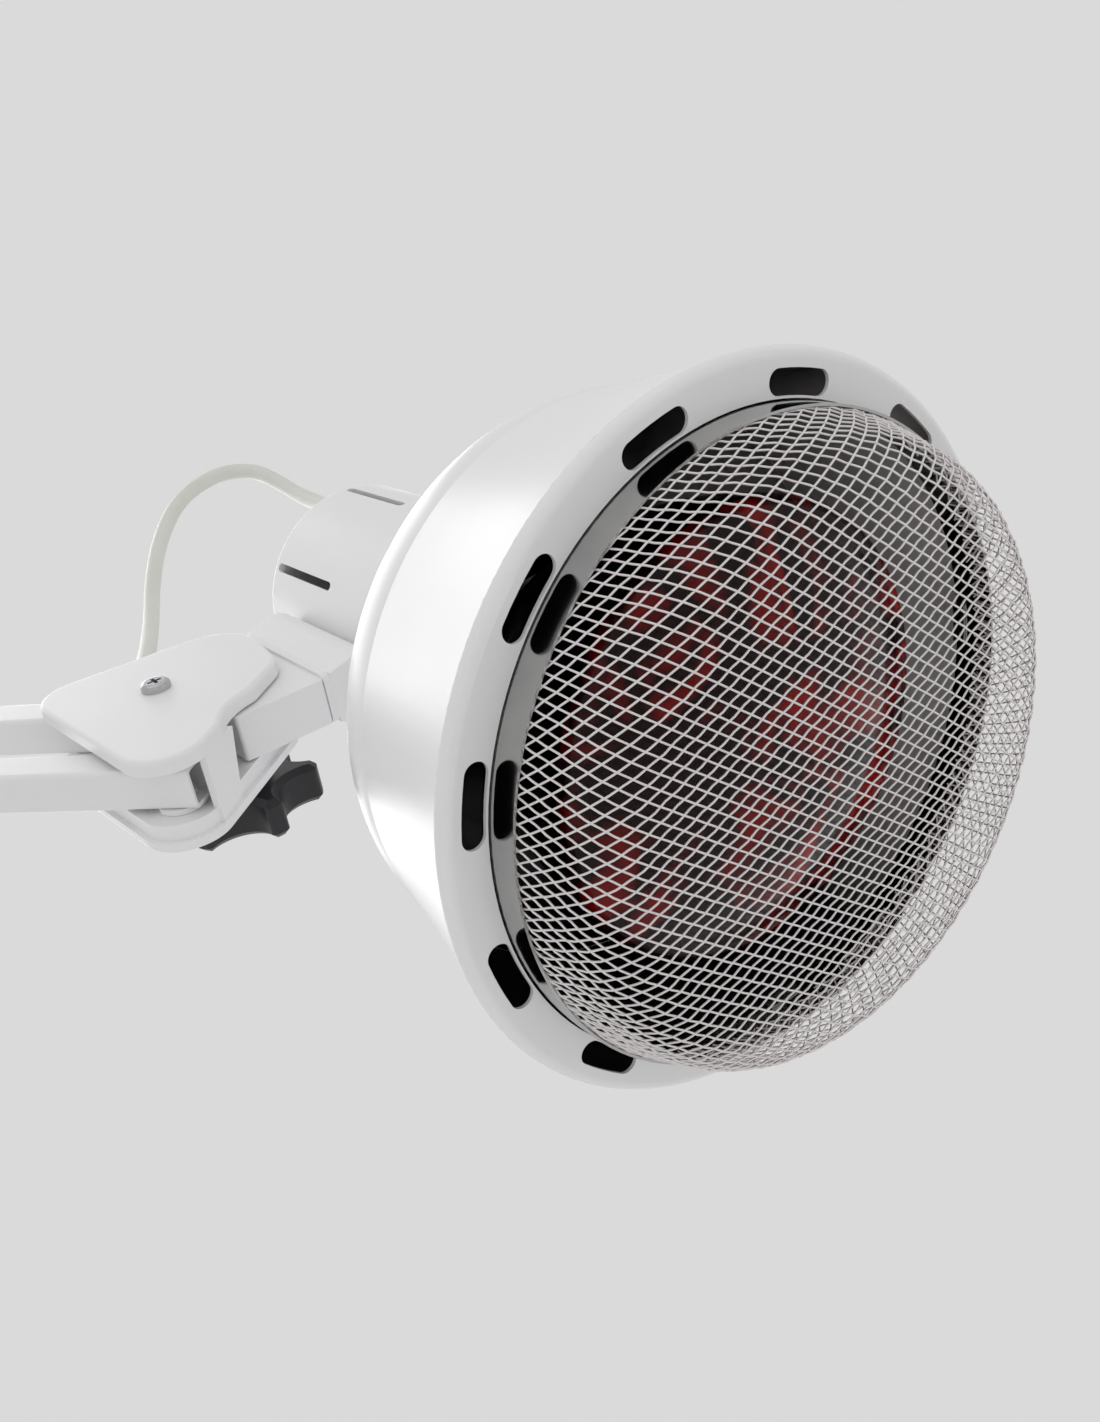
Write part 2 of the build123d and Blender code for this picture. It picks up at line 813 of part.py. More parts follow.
def saddle_screw_holes(radius):
    """Two holes for the saddle's screws, from inside the housing into the stem."""
    hole = Cylinder(radius, saddle_screw_length, align=(Align.CENTER, Align.CENTER, Align.MIN))
    return [
        Plane((saddle_seat_x, 0, z), z_dir=(-1, 0, 0)).location * hole for z in saddle_screw_z
    ]


def saddle_plate():
    """Flat plate with round corners between the stem and the housing's neck."""
    plane = Plane((stem_right, 0, saddle_middle), x_dir=(0, 1, 0), z_dir=(1, 0, 0))
    outline = RectangleRounded(saddle_width, stem_front - stem_rear, saddle_corner)
    plate = extrude(plane * outline, amount=saddle_thickness)
    return plate - saddle_screw_holes(screw_shank + running)


def saddle_screws():
    """Two screws from inside the housing through neck and saddle into the stem."""
    screw = Rot(0, 90, 0) * pan_screw(saddle_screw_length)
    return Compound([Pos(saddle_seat_x, 0, z) * screw for z in saddle_screw_z])


# Knuckle

def knuckle_outline(grow=0.0):
    """Three-lobed plate round the two bar pivots and the tilt pivot, with a blunt nose."""
    return hull_of(
        [
            (front_pivot, lobe_radius + grow),
            (rear_lobe_centre, rear_lobe + grow),
            (tilt_pivot, tilt_lobe + grow),
            (nose_centre, nose_radius + grow),
        ]
    )


def waisted(outline):
    """The same outline with a shallow scoop where the web comes up, its corners rounded."""
    outline = outline - Pos(*waist_centre) * Circle(waist_scoop)
    corners = outline.vertices().sort_by_distance((waist_centre[0], waist_centre[1], 0))[:2]
    return fillet(corners, waist_round)


def moulded_plate(outline, near, far, side):
    """Plate with its outer edge rounded over."""
    plate = slab(outline, near, far, side)
    outer = plate.edges().group_by(Axis.Y)[-1 if side > 0 else 0]
    return fillet(outer, cover_edge)


def stepped_plate(outline, side):
    """Lower moulding: a plate against the bars and a wider rounded rim on its outside."""
    plate = slab(outline(-body_inset), half_gap, rim_start, side)
    return plate + moulded_plate(outline(rim_reach), rim_start, body_back, side)


def pin_sockets(places, side):
    """Blind holes that hold the ends of the pivot pins."""
    return [rod(place, pin_radius, half_gap, half_gap + pin_bite, side) for place in places]


def bolt_pocket(place, side):
    """Blind hole for a captive bolt head."""
    return rod(place, bolt_head_radius + running, half_gap, half_gap + bolt_head_height, side)


def through_bore(place, radius, side):
    """Hole through a lower moulding."""
    return rod(place, radius, half_gap - 1, body_back + 1, side)


def knuckle_cover():
    """Outer moulded cover; the pivot ends are hidden in it and one screw holds it."""
    plate = moulded_plate(
        waisted(knuckle_outline()), half_gap, half_gap + cover_thickness, HEAD_SIDE
    )
    plate = plate - pin_sockets((front_pivot, rear_pivot), HEAD_SIDE)
    plate = plate - bolt_pocket(tilt_pivot, HEAD_SIDE)
    hole = cover_screw_shank + cover_screw_play
    return plate - rod(cover_screw_place, hole, 0, 2 * plate_gap, HEAD_SIDE)


def knuckle_web():
    """Web round the front bar's end, narrower at its foot."""
    inner = shifted(front_pivot, upper_head_way, lobe_radius - web_thickness)
    plane = Plane(
        origin=(inner[0], 0, inner[1]),
        x_dir=(upper_head_across[0], 0, upper_head_across[1]),
        z_dir=(upper_head_way[0], 0, upper_head_way[1]),
    )
    outline = Polygon(
        (web_start, -rim_start),
        (web_foot, -rim_start),
        (web_end, half_gap),
        (web_start, half_gap),
        align=None,
    )
    return extrude(plane * outline, amount=web_thickness)


def knuckle_body():
    """Lower moulding with the web round the front bar's end and the screw's standoff."""
    standoff = rod(cover_screw_place, standoff_radius, -half_gap - 1, half_gap)
    body = stepped_plate(knuckle_outline, -HEAD_SIDE) + knuckle_web() + standoff
    body = body - pin_sockets((front_pivot, rear_pivot), -HEAD_SIDE)
    body = body - through_bore(tilt_pivot, pin_radius + running, -HEAD_SIDE)
    return body - rod(cover_screw_place, cover_screw_shank, -half_gap + 2, half_gap + 1)


def cover_screw(place, side):
    """Pan-head screw that holds a cover to its standoff."""
    top = half_gap + cover_thickness
    head_top = top + cover_screw_height
    head = rod(place, cover_screw_radius, top, head_top, side)
    head = fillet(head.edges().group_by(Axis.Y)[-1 if side > 0 else 0], cover_screw_edge)
    shank = rod(place, cover_screw_shank, top - cover_screw_length, top, side)
    recess = Rectangle(*cover_cross) + Rot(0, 0, 90) * Rectangle(*cover_cross)
    return head + shank - slab(Pos(*place) * recess, head_top - cover_cross_depth, head_top + 1, side)


def pivot_pins(places):
    """Plain steel pins from one plate to the other."""
    reach = half_gap + pin_bite - seat_play
    return Compound([rod(place, pin_radius - running / 5, -reach, reach) for place in places])


def joint_bolt(place, head_seat, washer_top, side):
    """Clamping bolt: a hexagon head on one side and a shank that reaches into the knob."""
    head = slab(
        Pos(*place) * RegularPolygon(bolt_head_radius, 6), head_seat, head_seat + bolt_head_height, side
    )
    shank = rod(place, pin_radius, -(washer_top + knob_bite - bolt_tip), head_seat, side)
    return head + shank


def star_knob(place, seat, side):
    """Six-lobed moulded hand knob on a hub, with a blind bore for the bolt."""
    disc = Circle(knob_radius)
    for index in range(knob_lobes):
        way = direction(index * 360 / knob_lobes)
        centre = shifted((0, 0), way, knob_radius + knob_scallop - knob_scallop_depth)
        disc -= Pos(*centre) * Circle(knob_scallop)
    disc = fillet(disc.vertices(), knob_tip)
    grip_start = seat + knob_hub_height
    grip = slab(Pos(*place) * disc, grip_start, grip_start + knob_height, side)
    ends = grip.edges().group_by(Axis.Y)
    grip = chamfer(ends[0] + ends[-1], knob_edge)
    hub = rod(place, knob_hub, seat, grip_start + knob_edge, side)
    return grip + hub - rod(place, pin_radius + running, seat - 1, seat + knob_bite, side)


def tilt_washers():
    """Two fibre washers, one on each side of the stem's eye."""
    ring = Pos(*tilt_pivot) * (Circle(washer_radius) - Circle(pin_radius + running))
    near = stem_width / 2 + washer_play
    far = half_gap - washer_play
    return Compound([slab(ring, near, far, way) for way in (-1, 1)])


def knuckle_grommet():
    """Flat rubber bush between the plates where the head's cord goes in."""
    before = Vector(*cord_route[-2])
    end = Vector(*cord_route[-1])
    face = Plane(origin=end, x_dir=(0, 1, 0), z_dir=end - before)
    outline = SlotOverall(plate_gap - 2 * seat_play, 2 * bush_half)
    bush = extrude(face * outline, amount=bush_length)
    return chamfer(bush.faces().filter_by(face).edges(), bush_edge)


# Arm bars and bushes

def bar_plane(start, way):
    """Plane across a bar at a point of its centre line."""
    return Plane(origin=(start[0], 0, start[1]), x_dir=(0, 1, 0), z_dir=(way[0], 0, way[1]))


def square_bar(start, way, length):
    """Square steel tube with an open end past each pivot and a hole for each bush."""
    section = RectangleRounded(bar_width, bar_width, bar_corner)
    inside = bar_width - 2 * bar_wall
    section -= RectangleRounded(inside, inside, bar_corner - bar_wall / 2)
    tail = shifted(start, way, -bar_overhang)
    tube = extrude(bar_plane(tail, way) * section, amount=length + 2 * bar_overhang)
    end = shifted(start, way, length)
    bores = [rod(place, bush_radius + running, -bar_width, bar_width) for place in (start, end)]
    return tube - bores


def bar_bushes(start, way, length):
    """Nylon bushes: a sleeve in the tube's wall and a flange against the plate, on each side."""
    end = shifted(start, way, length)
    sleeve_end = bar_width / 2 - bar_wall - 1.5
    bushes = []
    for place in (start, end):
        for side in (-1, 1):
            flange = rod(place, bush_flange, bar_width / 2 + 0.02, half_gap - seat_play, side)
            sleeve = rod(place, bush_radius, sleeve_end, bar_width / 2 + 0.1, side)
            bushes.append(flange + sleeve - rod(place, pin_radius + running, 0, plate_gap, side))
    return Compound(bushes)


def lead_place():
    """Place and facing of the lead's grommet on the lower bar's front wall."""
    centre = shifted(foot_pivot, lower_way, grommet_height)
    front = (lower_way[1], -lower_way[0])
    face = shifted(centre, front, bar_width / 2)
    return Plane(origin=(face[0], 0, face[1]), z_dir=(front[0], 0, front[1])).location


def lead_grommet():
    """Rubber ring in the front of the lower bar, where the mains lead would come out."""
    outside = (Align.CENTER, Align.CENTER, Align.MIN)
    inside = (Align.CENTER, Align.CENTER, Align.MAX)
    ring = Cylinder(grommet_radius, grommet_sheet, align=outside)
    neck = Cylinder(grommet_neck, bar_wall + grommet_sheet / 4, align=inside)
    return lead_place() * (ring + neck - Cylinder(grommet_bore, 4 * grommet_sheet))


def grommet_hole():
    """Hole in the lower bar's front wall for the lead's grommet."""
    return lead_place() * Cylinder(grommet_neck + running, 2 * bar_wall + 1)


# Elbow

def elbow_outline(grow=0.0):
    """Four-lobed plate round the pivots of both pairs of bars."""
    return hull_of([(place, lobe_radius + grow) for place in elbow_pivots])


def middle_of(first, second, share):
    """Point on the line between two points."""
    return (
        first[0] + (second[0] - first[0]) * share,
        first[1] + (second[1] - first[1]) * share,
    )


elbow_screw_places = (
    middle_of(elbow_low, elbow_high_rear, elbow_screw_shares[0]),
    middle_of(elbow_low_rear, elbow_high_rear, elbow_screw_shares[1]),
)


def elbow_cover():
    """Outer moulded cover of the elbow."""
    plate = moulded_plate(elbow_outline(), half_gap, half_gap + cover_thickness, WORLD_SIDE)
    plate = plate - pin_sockets(elbow_pivots[:3], WORLD_SIDE) - bolt_pocket(elbow_high, WORLD_SIDE)
    hole = cover_screw_shank + cover_screw_play
    holes = [rod(place, hole, 0, 2 * plate_gap, WORLD_SIDE) for place in elbow_screw_places]
    return plate - holes


def elbow_body():
    """Lower moulding with a web along the back and the standoffs for the cover."""
    run = (elbow_high_rear[0] - elbow_low_rear[0], elbow_high_rear[1] - elbow_low_rear[1])
    length = math.hypot(*run)
    along = (run[0] / length, run[1] / length)
    outward = (-along[1], along[0])
    near = shifted(elbow_low_rear, outward, lobe_radius - web_thickness)
    far = shifted(elbow_low_rear, outward, lobe_radius)
    web_outline = Polygon(
        near, shifted(near, along, length), shifted(far, along, length), far, align=None
    )
    body = stepped_plate(elbow_outline, -WORLD_SIDE) + slab(web_outline, -half_gap, rim_start)
    for place in elbow_screw_places:
        body += rod(place, standoff_radius, -half_gap, half_gap + 1)
    body = body - pin_sockets(elbow_pivots[:3], -WORLD_SIDE)
    body = body - through_bore(elbow_high, pin_radius + running, -WORLD_SIDE)
    holes = [
        rod(place, cover_screw_shank, -half_gap - 1, half_gap - 2) for place in elbow_screw_places
    ]
    return body - holes


# Fork and post

def base_fork():
    """Bent steel fork: two cheeks on a floor, with the pivots of the lower bars."""
    base_line = Line((fork_back, fork_floor), (fork_nose, fork_floor))
    cheek = hull_of([(foot_pivot, fork_lobe), (foot_rear, fork_lobe)], base_line.edges())
    cheeks = [slab(cheek, half_gap, half_gap + fork_sheet, side) for side in (-1, 1)]
    floor = slab(
        Pos(fork_back, fork_floor) * Rectangle(fork_nose - fork_back, fork_sheet, align=Align.MIN),
        -half_gap - fork_sheet,
        half_gap + fork_sheet,
    )
    fork = cheeks[0] + cheeks[1] + floor
    bores = [
        rod(place, pin_radius + running, -2 * plate_gap, 2 * plate_gap)
        for place in (foot_pivot, foot_rear)
    ]
    post_hole = Pos(post_x, 0, fork_floor) * Cylinder(post_radius - post_shoulder, 4 * fork_sheet)
    return fork - bores - post_hole


def swivel_post():
    """Turned steel post, shouldered under the fork and riveted over inside it."""
    neck = post_radius - post_shoulder - running
    floor_top = fork_floor + fork_sheet
    return Pos(post_x, 0, 0) * turned(
        Polygon(
            (0, post_bottom),
            (post_radius - post_edge, post_bottom),
            (post_radius, post_bottom + post_edge),
            (post_radius, fork_floor),
            (neck, fork_floor),
            (neck, floor_top),
            (post_rivet, floor_top),
            (post_rivet_top, floor_top + post_rivet_height),
            (0, floor_top + post_rivet_height),
            align=None,
        )
    )


def fork_pin():
    """Rivet through both cheeks at the rear bar's foot."""
    reach = half_gap + fork_sheet
    pin = rod(foot_rear, pin_radius - running / 5, -reach, reach)
    heads = [rod(foot_rear, pin_head, reach, reach + pin_head_height, side) for side in (-1, 1)]
    return pin + heads[0] + heads[1]


def knob_washer(place, near, side):
    """Plain steel washer under a hand knob."""
    ring = Circle(knob_washer_radius) - Circle(pin_radius + running)
    return slab(Pos(*place) * ring, near, near + knob_washer_height, side)


# Table clamp

def clamp_body():
    """Cast C clamp: jaw, spine with a back rib, nut arm, and the post's socket on top."""
    sunk = 1.0
    jaw = Pos((jaw_back + jaw_front) / 2, 0, jaw_rubber) * extrude(
        RectangleRounded(jaw_front - jaw_back, jaw_width, jaw_corner), amount=jaw_thickness
    )
    spine = Pos(jaw_back, 0, clamp_bottom) * Box(
        spine_thickness,
        spine_width,
        jaw_top - clamp_bottom - sunk,
        align=(Align.MIN, Align.CENTER, Align.MIN),
    )
    rib_outline = Polygon(
        (jaw_back, clamp_bottom),
        (jaw_back - spine_rib_depth, clamp_bottom + spine_rib_depth),
        (jaw_back - spine_rib_depth, jaw_top - sunk - spine_rib_depth),
        (jaw_back, jaw_top - sunk),
        align=None,
    )
    rib = slab(rib_outline, -spine_rib / 2, spine_rib / 2)
    arm = Pos(jaw_back, 0, clamp_bottom) * Box(
        -jaw_back, clamp_arm_width, clamp_arm, align=(Align.MIN, Align.CENTER, Align.MIN)
    )
    arm_end = Pos(0, 0, clamp_bottom) * Cylinder(
        clamp_arm_width / 2, clamp_arm, align=(Align.CENTER, Align.CENTER, Align.MIN)
    )
    nut = Pos(0, 0, clamp_bottom - nut_overhang) * Cylinder(
        nut_radius, clamp_arm + 2 * nut_overhang, align=(Align.CENTER, Align.CENTER, Align.MIN)
    )
    socket = Pos(post_x, 0, jaw_top - sunk) * Cylinder(
        socket_radius, socket_top - jaw_top + sunk, align=(Align.CENTER, Align.CENTER, Align.MIN)
    )
    socket = chamfer(socket.edges().group_by(Axis.Z)[-1], socket_edge)
    post_bore = Pos(post_x, 0, post_bottom - post_end_play) * Cylinder(
        post_radius + post_play, socket_top, align=(Align.CENTER, Align.CENTER, Align.MIN)
    )
    screw_bore = Pos(0, 0, clamp_bottom) * Cylinder(screw_radius + screw_play, 8 * nut_overhang)
    return jaw + spine + rib + arm + arm_end + nut + socket - post_bore - screw_bore


def jaw_pad():
    """Rubber facing under the jaw; its lower face is the face that rests on the table."""
    front = jaw_front - rubber_inset
    back = jaw_back + spine_thickness + rubber_inset
    width = jaw_width - 5 * rubber_inset
    outline = RectangleRounded(front - back, width, jaw_corner - 2 * rubber_inset)
    return Pos((front + back) / 2, 0, 0) * extrude(outline, amount=jaw_rubber)


def clamp_pad():
    """Swivelling pressure pad with a socket that holds the screw's ball end."""
    disc = Pos(0, 0, pad_top) * Cylinder(
        pad_radius, pad_height, align=(Align.CENTER, Align.CENTER, Align.MAX)
    )
    disc = chamfer(disc.edges().group_by(Axis.Z)[0], pad_edge)
    disc = chamfer(disc.edges().group_by(Axis.Z)[-1], pad_rim_edge)
    cavity = Pos(0, 0, ball_z) * Sphere(ball_radius + ball_play)
    throat = Pos(0, 0, pad_bottom) * Cylinder(ball_neck + throat_play, ball_depth)
    return disc - cavity - throat


def clamp_screw():
    """Clamp screw with a ball end above and a drilled head below for the handle."""
    neck_bottom = pad_bottom - ball_neck
    ball = Pos(0, 0, ball_z) * Sphere(ball_radius)
    neck = Pos(0, 0, ball_z) * Cylinder(
        ball_neck, ball_z - neck_bottom, align=(Align.CENTER, Align.CENTER, Align.MAX)
    )
    shaft = Pos(0, 0, screw_bottom) * Cylinder(
        screw_radius, neck_bottom - screw_bottom, align=(Align.CENTER, Align.CENTER, Align.MIN)
    )
    cap = Pos(0, 0, screw_bottom) * Cylinder(
        screw_cap_radius, screw_cap_height, align=(Align.CENTER, Align.CENTER, Align.MAX)
    )
    cap = chamfer(cap.edges(), screw_cap_edge)
    handle_bore = Rot(90, 0, 0) * Cylinder(handle_radius + running, 4 * screw_cap_radius)
    return ball + neck + shaft + cap - Pos(0, 0, handle_z) * handle_bore


def clamp_handle():
    """Tommy bar with a knob pressed on each end."""
    bar = Cylinder(handle_radius, handle_length)
    end = Cylinder(handle_end, handle_end_length)
    end = fillet(end.edges().filter_by(GeomType.CIRCLE), handle_end_edge)
    ends = [Pos(0, 0, way * (handle_length - handle_end_length) / 2) * end for way in (-1, 1)]
    return Pos(0, 0, handle_z) * Rot(90, 0, 0) * (bar + ends[0] + ends[1])


# Write every piece

save(shade(), "lamp_shade", HEAD)
save(shade_ring(), "shade_ring", HEAD)
save(guard_hoop(), "guard_hoop", HEAD)
save(guard_clips(), "guard_clips", HEAD)
save(guard_mesh(), "guard_mesh", HEAD)
save(bulb_glass(), "bulb_glass", HEAD)
save(bulb_cap(), "bulb_cap", HEAD)
save(bulb_filament(), "bulb_filament", HEAD)
save(lampholder(), "lampholder", HEAD)
save(lampholder_bracket(), "lampholder_bracket", HEAD)
save(lampholder_screws(), "lampholder_screws", HEAD)
save(housing(), "socket_housing", HEAD)
save(shade_screws(), "shade_screws", HEAD)
save(rear_cap(), "rear_cap", HEAD)
save(rear_cap_screws(), "rear_cap_screws", HEAD)
save(cord_gland(), "cord_gland", HEAD)
save(head_cord(), "head_cord", HEAD)
save(head_stem(), "head_stem", HEAD)
save(saddle_plate(), "saddle_plate", HEAD)
save(saddle_screws(), "saddle_screws", HEAD)

save(knuckle_cover(), "knuckle_cover", HEAD)
save(knuckle_body(), "knuckle_body", HEAD)
save(cover_screw(cover_screw_place, HEAD_SIDE), "knuckle_screw", HEAD)
save(pivot_pins((front_pivot, rear_pivot)), "knuckle_pins", HEAD)
save(joint_bolt(tilt_pivot, half_gap, body_back + knob_washer_height, HEAD_SIDE), "tilt_bolt", HEAD)
save(tilt_washers(), "tilt_washers", HEAD)
save(knob_washer(tilt_pivot, body_back, -HEAD_SIDE), "tilt_knob_washer", HEAD)
save(star_knob(tilt_pivot, body_back + knob_seat, -HEAD_SIDE), "tilt_knob", HEAD)
save(knuckle_grommet(), "knuckle_grommet", HEAD)

save(square_bar(elbow_high, upper_way, upper_length), "upper_front_bar")
save(square_bar(elbow_high_rear, upper_way, upper_length), "upper_rear_bar")
save(bar_bushes(elbow_high, upper_way, upper_length), "upper_front_bushes")
save(bar_bushes(elbow_high_rear, upper_way, upper_length), "upper_rear_bushes")

save(elbow_cover(), "elbow_cover")
save(elbow_body(), "elbow_body")
save(Compound([cover_screw(place, WORLD_SIDE) for place in elbow_screw_places]), "elbow_screws")
save(pivot_pins(elbow_pivots[:3]), "elbow_pins")
save(joint_bolt(elbow_high, half_gap, body_back + knob_washer_height, WORLD_SIDE), "elbow_bolt")
save(knob_washer(elbow_high, body_back, -WORLD_SIDE), "elbow_knob_washer")
save(star_knob(elbow_high, body_back + knob_seat, -WORLD_SIDE), "elbow_knob")

save(square_bar(foot_pivot, lower_way, lower_length) - grommet_hole(), "lower_front_bar")
save(square_bar(foot_rear, lower_way, lower_length), "lower_rear_bar")
save(bar_bushes(foot_pivot, lower_way, lower_length), "lower_front_bushes")
save(bar_bushes(foot_rear, lower_way, lower_length), "lower_rear_bushes")
save(lead_grommet(), "lead_grommet")

save(base_fork(), "base_fork")
save(swivel_post(), "swivel_post")
save(fork_pin(), "fork_pin")
save(joint_bolt(foot_pivot, fork_face, fork_face + knob_washer_height, WORLD_SIDE), "fork_bolt")
save(knob_washer(foot_pivot, fork_face, -WORLD_SIDE), "fork_knob_washer")
save(star_knob(foot_pivot, fork_face + knob_seat, -WORLD_SIDE), "fork_knob")

save(clamp_body(), "clamp_body")
save(jaw_pad(), "jaw_pad")
save(clamp_pad(), "clamp_pad")
save(clamp_screw(), "clamp_screw")
save(clamp_handle(), "clamp_handle")

print("head origin", [round(value, 2) for value in head_origin])
print("pivots", {
    "foot": foot_pivot,
    "foot rear": foot_rear,
    "elbow low": elbow_low,
    "elbow high": elbow_high,
    "elbow high rear": elbow_high_rear,
    "knuckle front": knuckle_front,
    "knuckle rear": knuckle_rear,
    "tilt": tilt_world,
})
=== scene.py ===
import json
import math

import bmesh
import bpy
from mathutils import Matrix, Vector


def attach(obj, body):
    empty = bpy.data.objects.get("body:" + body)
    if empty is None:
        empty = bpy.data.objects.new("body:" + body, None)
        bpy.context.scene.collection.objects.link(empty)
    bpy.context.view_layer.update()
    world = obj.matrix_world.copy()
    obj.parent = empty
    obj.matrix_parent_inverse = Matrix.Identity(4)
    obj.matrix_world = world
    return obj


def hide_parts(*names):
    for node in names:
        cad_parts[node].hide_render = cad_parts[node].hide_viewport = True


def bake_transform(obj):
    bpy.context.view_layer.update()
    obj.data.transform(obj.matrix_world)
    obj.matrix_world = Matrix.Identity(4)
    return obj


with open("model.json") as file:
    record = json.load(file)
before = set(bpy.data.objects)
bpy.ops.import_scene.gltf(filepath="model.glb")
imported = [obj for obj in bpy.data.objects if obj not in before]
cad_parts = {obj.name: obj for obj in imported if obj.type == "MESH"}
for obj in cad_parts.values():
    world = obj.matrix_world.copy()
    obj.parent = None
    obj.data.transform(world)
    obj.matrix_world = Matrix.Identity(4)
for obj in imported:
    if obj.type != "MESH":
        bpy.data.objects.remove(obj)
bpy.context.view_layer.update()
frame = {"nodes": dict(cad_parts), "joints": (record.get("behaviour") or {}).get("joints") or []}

# The view: where the photograph was taken from, found from the round rim of the shade. The head's
# own axes are x from the knuckle to the lamp's axis, y along the pivots and z out of the mouth,
# which at rest points 75 degrees below level.
MM = 0.001
HEAD_ANGLE = math.radians(-75)
TILT_PIVOT = Vector((-80.0, 0.0, -168.0)) * MM
CAMERA_SEAT = Vector((-212.07, 168.79, 219.73)) * MM
CAMERA_RIGHT = Vector((0.77426, -0.15427, 0.61378))
CAMERA_BACK = Vector((-0.50003, 0.44538, 0.74271))
SENSOR_HEIGHT = 36.0
FOCAL_LENGTH = 33.35
NEAREST_SEEN = 10 * MM

head_turn = Matrix((
    (-math.sin(HEAD_ANGLE), 0, math.cos(HEAD_ANGLE)),
    (0, -1, 0),
    (math.cos(HEAD_ANGLE), 0, math.sin(HEAD_ANGLE)),
))
tilt_joint = next(joint for joint in frame["joints"] if joint["name"] == "head_tilt")
head_origin = Vector(tilt_joint["pos_m"]) - head_turn @ TILT_PIVOT
head_place = Matrix.Translation(head_origin) @ head_turn.to_4x4()


def put_in_scene(name, data):
    """A new object of this data in the scene's own collection."""
    made = bpy.data.objects.new(name, data)
    bpy.context.scene.collection.objects.link(made)
    return made


camera_data = bpy.data.cameras.new("camera")
camera_data.sensor_fit = "VERTICAL"
camera_data.sensor_height = SENSOR_HEIGHT
camera_data.lens = FOCAL_LENGTH
camera_data.clip_start = NEAREST_SEEN
camera = put_in_scene("camera", camera_data)
camera_up = CAMERA_BACK.cross(CAMERA_RIGHT).normalized()
camera_axes = Matrix((CAMERA_RIGHT, camera_up, CAMERA_BACK)).transposed()
camera.matrix_world = head_place @ Matrix.Translation(CAMERA_SEAT) @ camera_axes.to_4x4()
bpy.context.scene.camera = camera
bpy.context.scene.view_settings.view_transform = "Standard"


# The room: a sheet of white paper for a floor and a pale surround. The surround looks like its
# colour to the camera, in gloss and through glass, while the light that it gives stays plain.
# Two square softboxes light the lamp, one on the camera's side of it and one overhead.
SURROUND = "#DADADA"
SKYLIGHT = "#FFFFFF"
AMBIENT = 0.7
PAPER = "#DDDDDD"
PAPER_ROUGHNESS = 0.8
FLOOR_Z = -0.131
FLOOR_RADIUS = 6.0
FLOOR_SIDES = 64


def linear(hex_colour):
    """An sRGB hex colour as linear red, green, blue and alpha."""
    parts = [int(hex_colour[start : start + 2], 16) / 255 for start in (1, 3, 5)]
    return [p / 12.92 if p <= 0.04045 else ((p + 0.055) / 1.055) ** 2.4 for p in parts] + [1.0]


def feed(tree, node, inputs):
    """Sets a node's inputs, each to a value or to another node's output."""
    for socket, value in inputs.items():
        if isinstance(value, bpy.types.NodeSocket):
            tree.links.new(value, node.inputs[socket])
        else:
            node.inputs[socket].default_value = value


def add(tree, kind, inputs=None, **settings):
    """Adds a node with its settings and its inputs."""
    made = tree.nodes.new(kind)
    for name, value in settings.items():
        setattr(made, name, value)
    feed(tree, made, inputs or {})
    return made


def start_material(name):
    """A new material with its node tree and its main shader."""
    made = bpy.data.materials.new(name)
    made.use_nodes = True
    return made, made.node_tree, made.node_tree.nodes["Principled BSDF"]


world = bpy.data.worlds.new("studio")
bpy.context.scene.world = world
world.use_nodes = True
sky = world.node_tree
sky.nodes.clear()
ray = add(sky, "ShaderNodeLightPath")
seen = ray.outputs["Is Camera Ray"]
for ray_kind in ("Is Glossy Ray", "Is Transmission Ray"):
    either = {0: seen, 1: ray.outputs[ray_kind]}
    seen = add(sky, "ShaderNodeMath", either, operation="MAXIMUM").outputs[0]
plain = add(sky, "ShaderNodeBackground", {"Color": linear(SKYLIGHT), "Strength": AMBIENT})
shown = add(sky, "ShaderNodeBackground", {"Color": linear(SURROUND), "Strength": 1.0})
mixed = add(sky, "ShaderNodeMixShader", {0: seen, 1: plain.outputs[0], 2: shown.outputs[0]})
add(sky, "ShaderNodeOutputWorld", {"Surface": mixed.outputs[0]})

paper, paper_tree, paper_shader = start_material("white_paper_sheet")
feed(paper_tree, paper_shader, {"Base Color": linear(PAPER), "Roughness": PAPER_ROUGHNESS})
floor_mesh = bpy.data.meshes.new("floor")
floor_round = bmesh.new()
bmesh.ops.create_circle(floor_round, cap_ends=True, segments=FLOOR_SIDES, radius=FLOOR_RADIUS)
floor_round.to_mesh(floor_mesh)
floor_round.free()
floor_mesh.materials.append(paper)
floor = put_in_scene("floor", floor_mesh)
floor.location.z = FLOOR_Z


def softbox(name, place, target, size, watts):
    """A square area lamp that faces a point."""
    data = bpy.data.lights.new(name, "AREA")
    data.shape = "SQUARE"
    data.size = size
    data.energy = watts
    lamp = put_in_scene(name, data)
    lamp.location = place
    lamp.rotation_euler = (Vector(target) - Vector(place)).to_track_quat("-Z", "Y").to_euler()


softbox("key", place=(0.25, -1.35, 0.25), target=(0.32, 0, 0.2), size=1.6, watts=2.5)
softbox("top", place=(-0.1, 0.2, 1.7), target=(0.1, 0, 0.2), size=1.4, watts=13)


# Clamp, fork, bars, stem and saddle: castings, pressings and square or flat steel tube, drilled
# for their pins and then powder coated in a satin white that is baked on.
COAT_WHITE = "#F0F0F1"
PAINT_SHADE = "#EBEBEC"
PAINT_DRIFT = 45 * MM
PEEL = 1.6 * MM
PEEL_DEPTH = 0.05 * MM


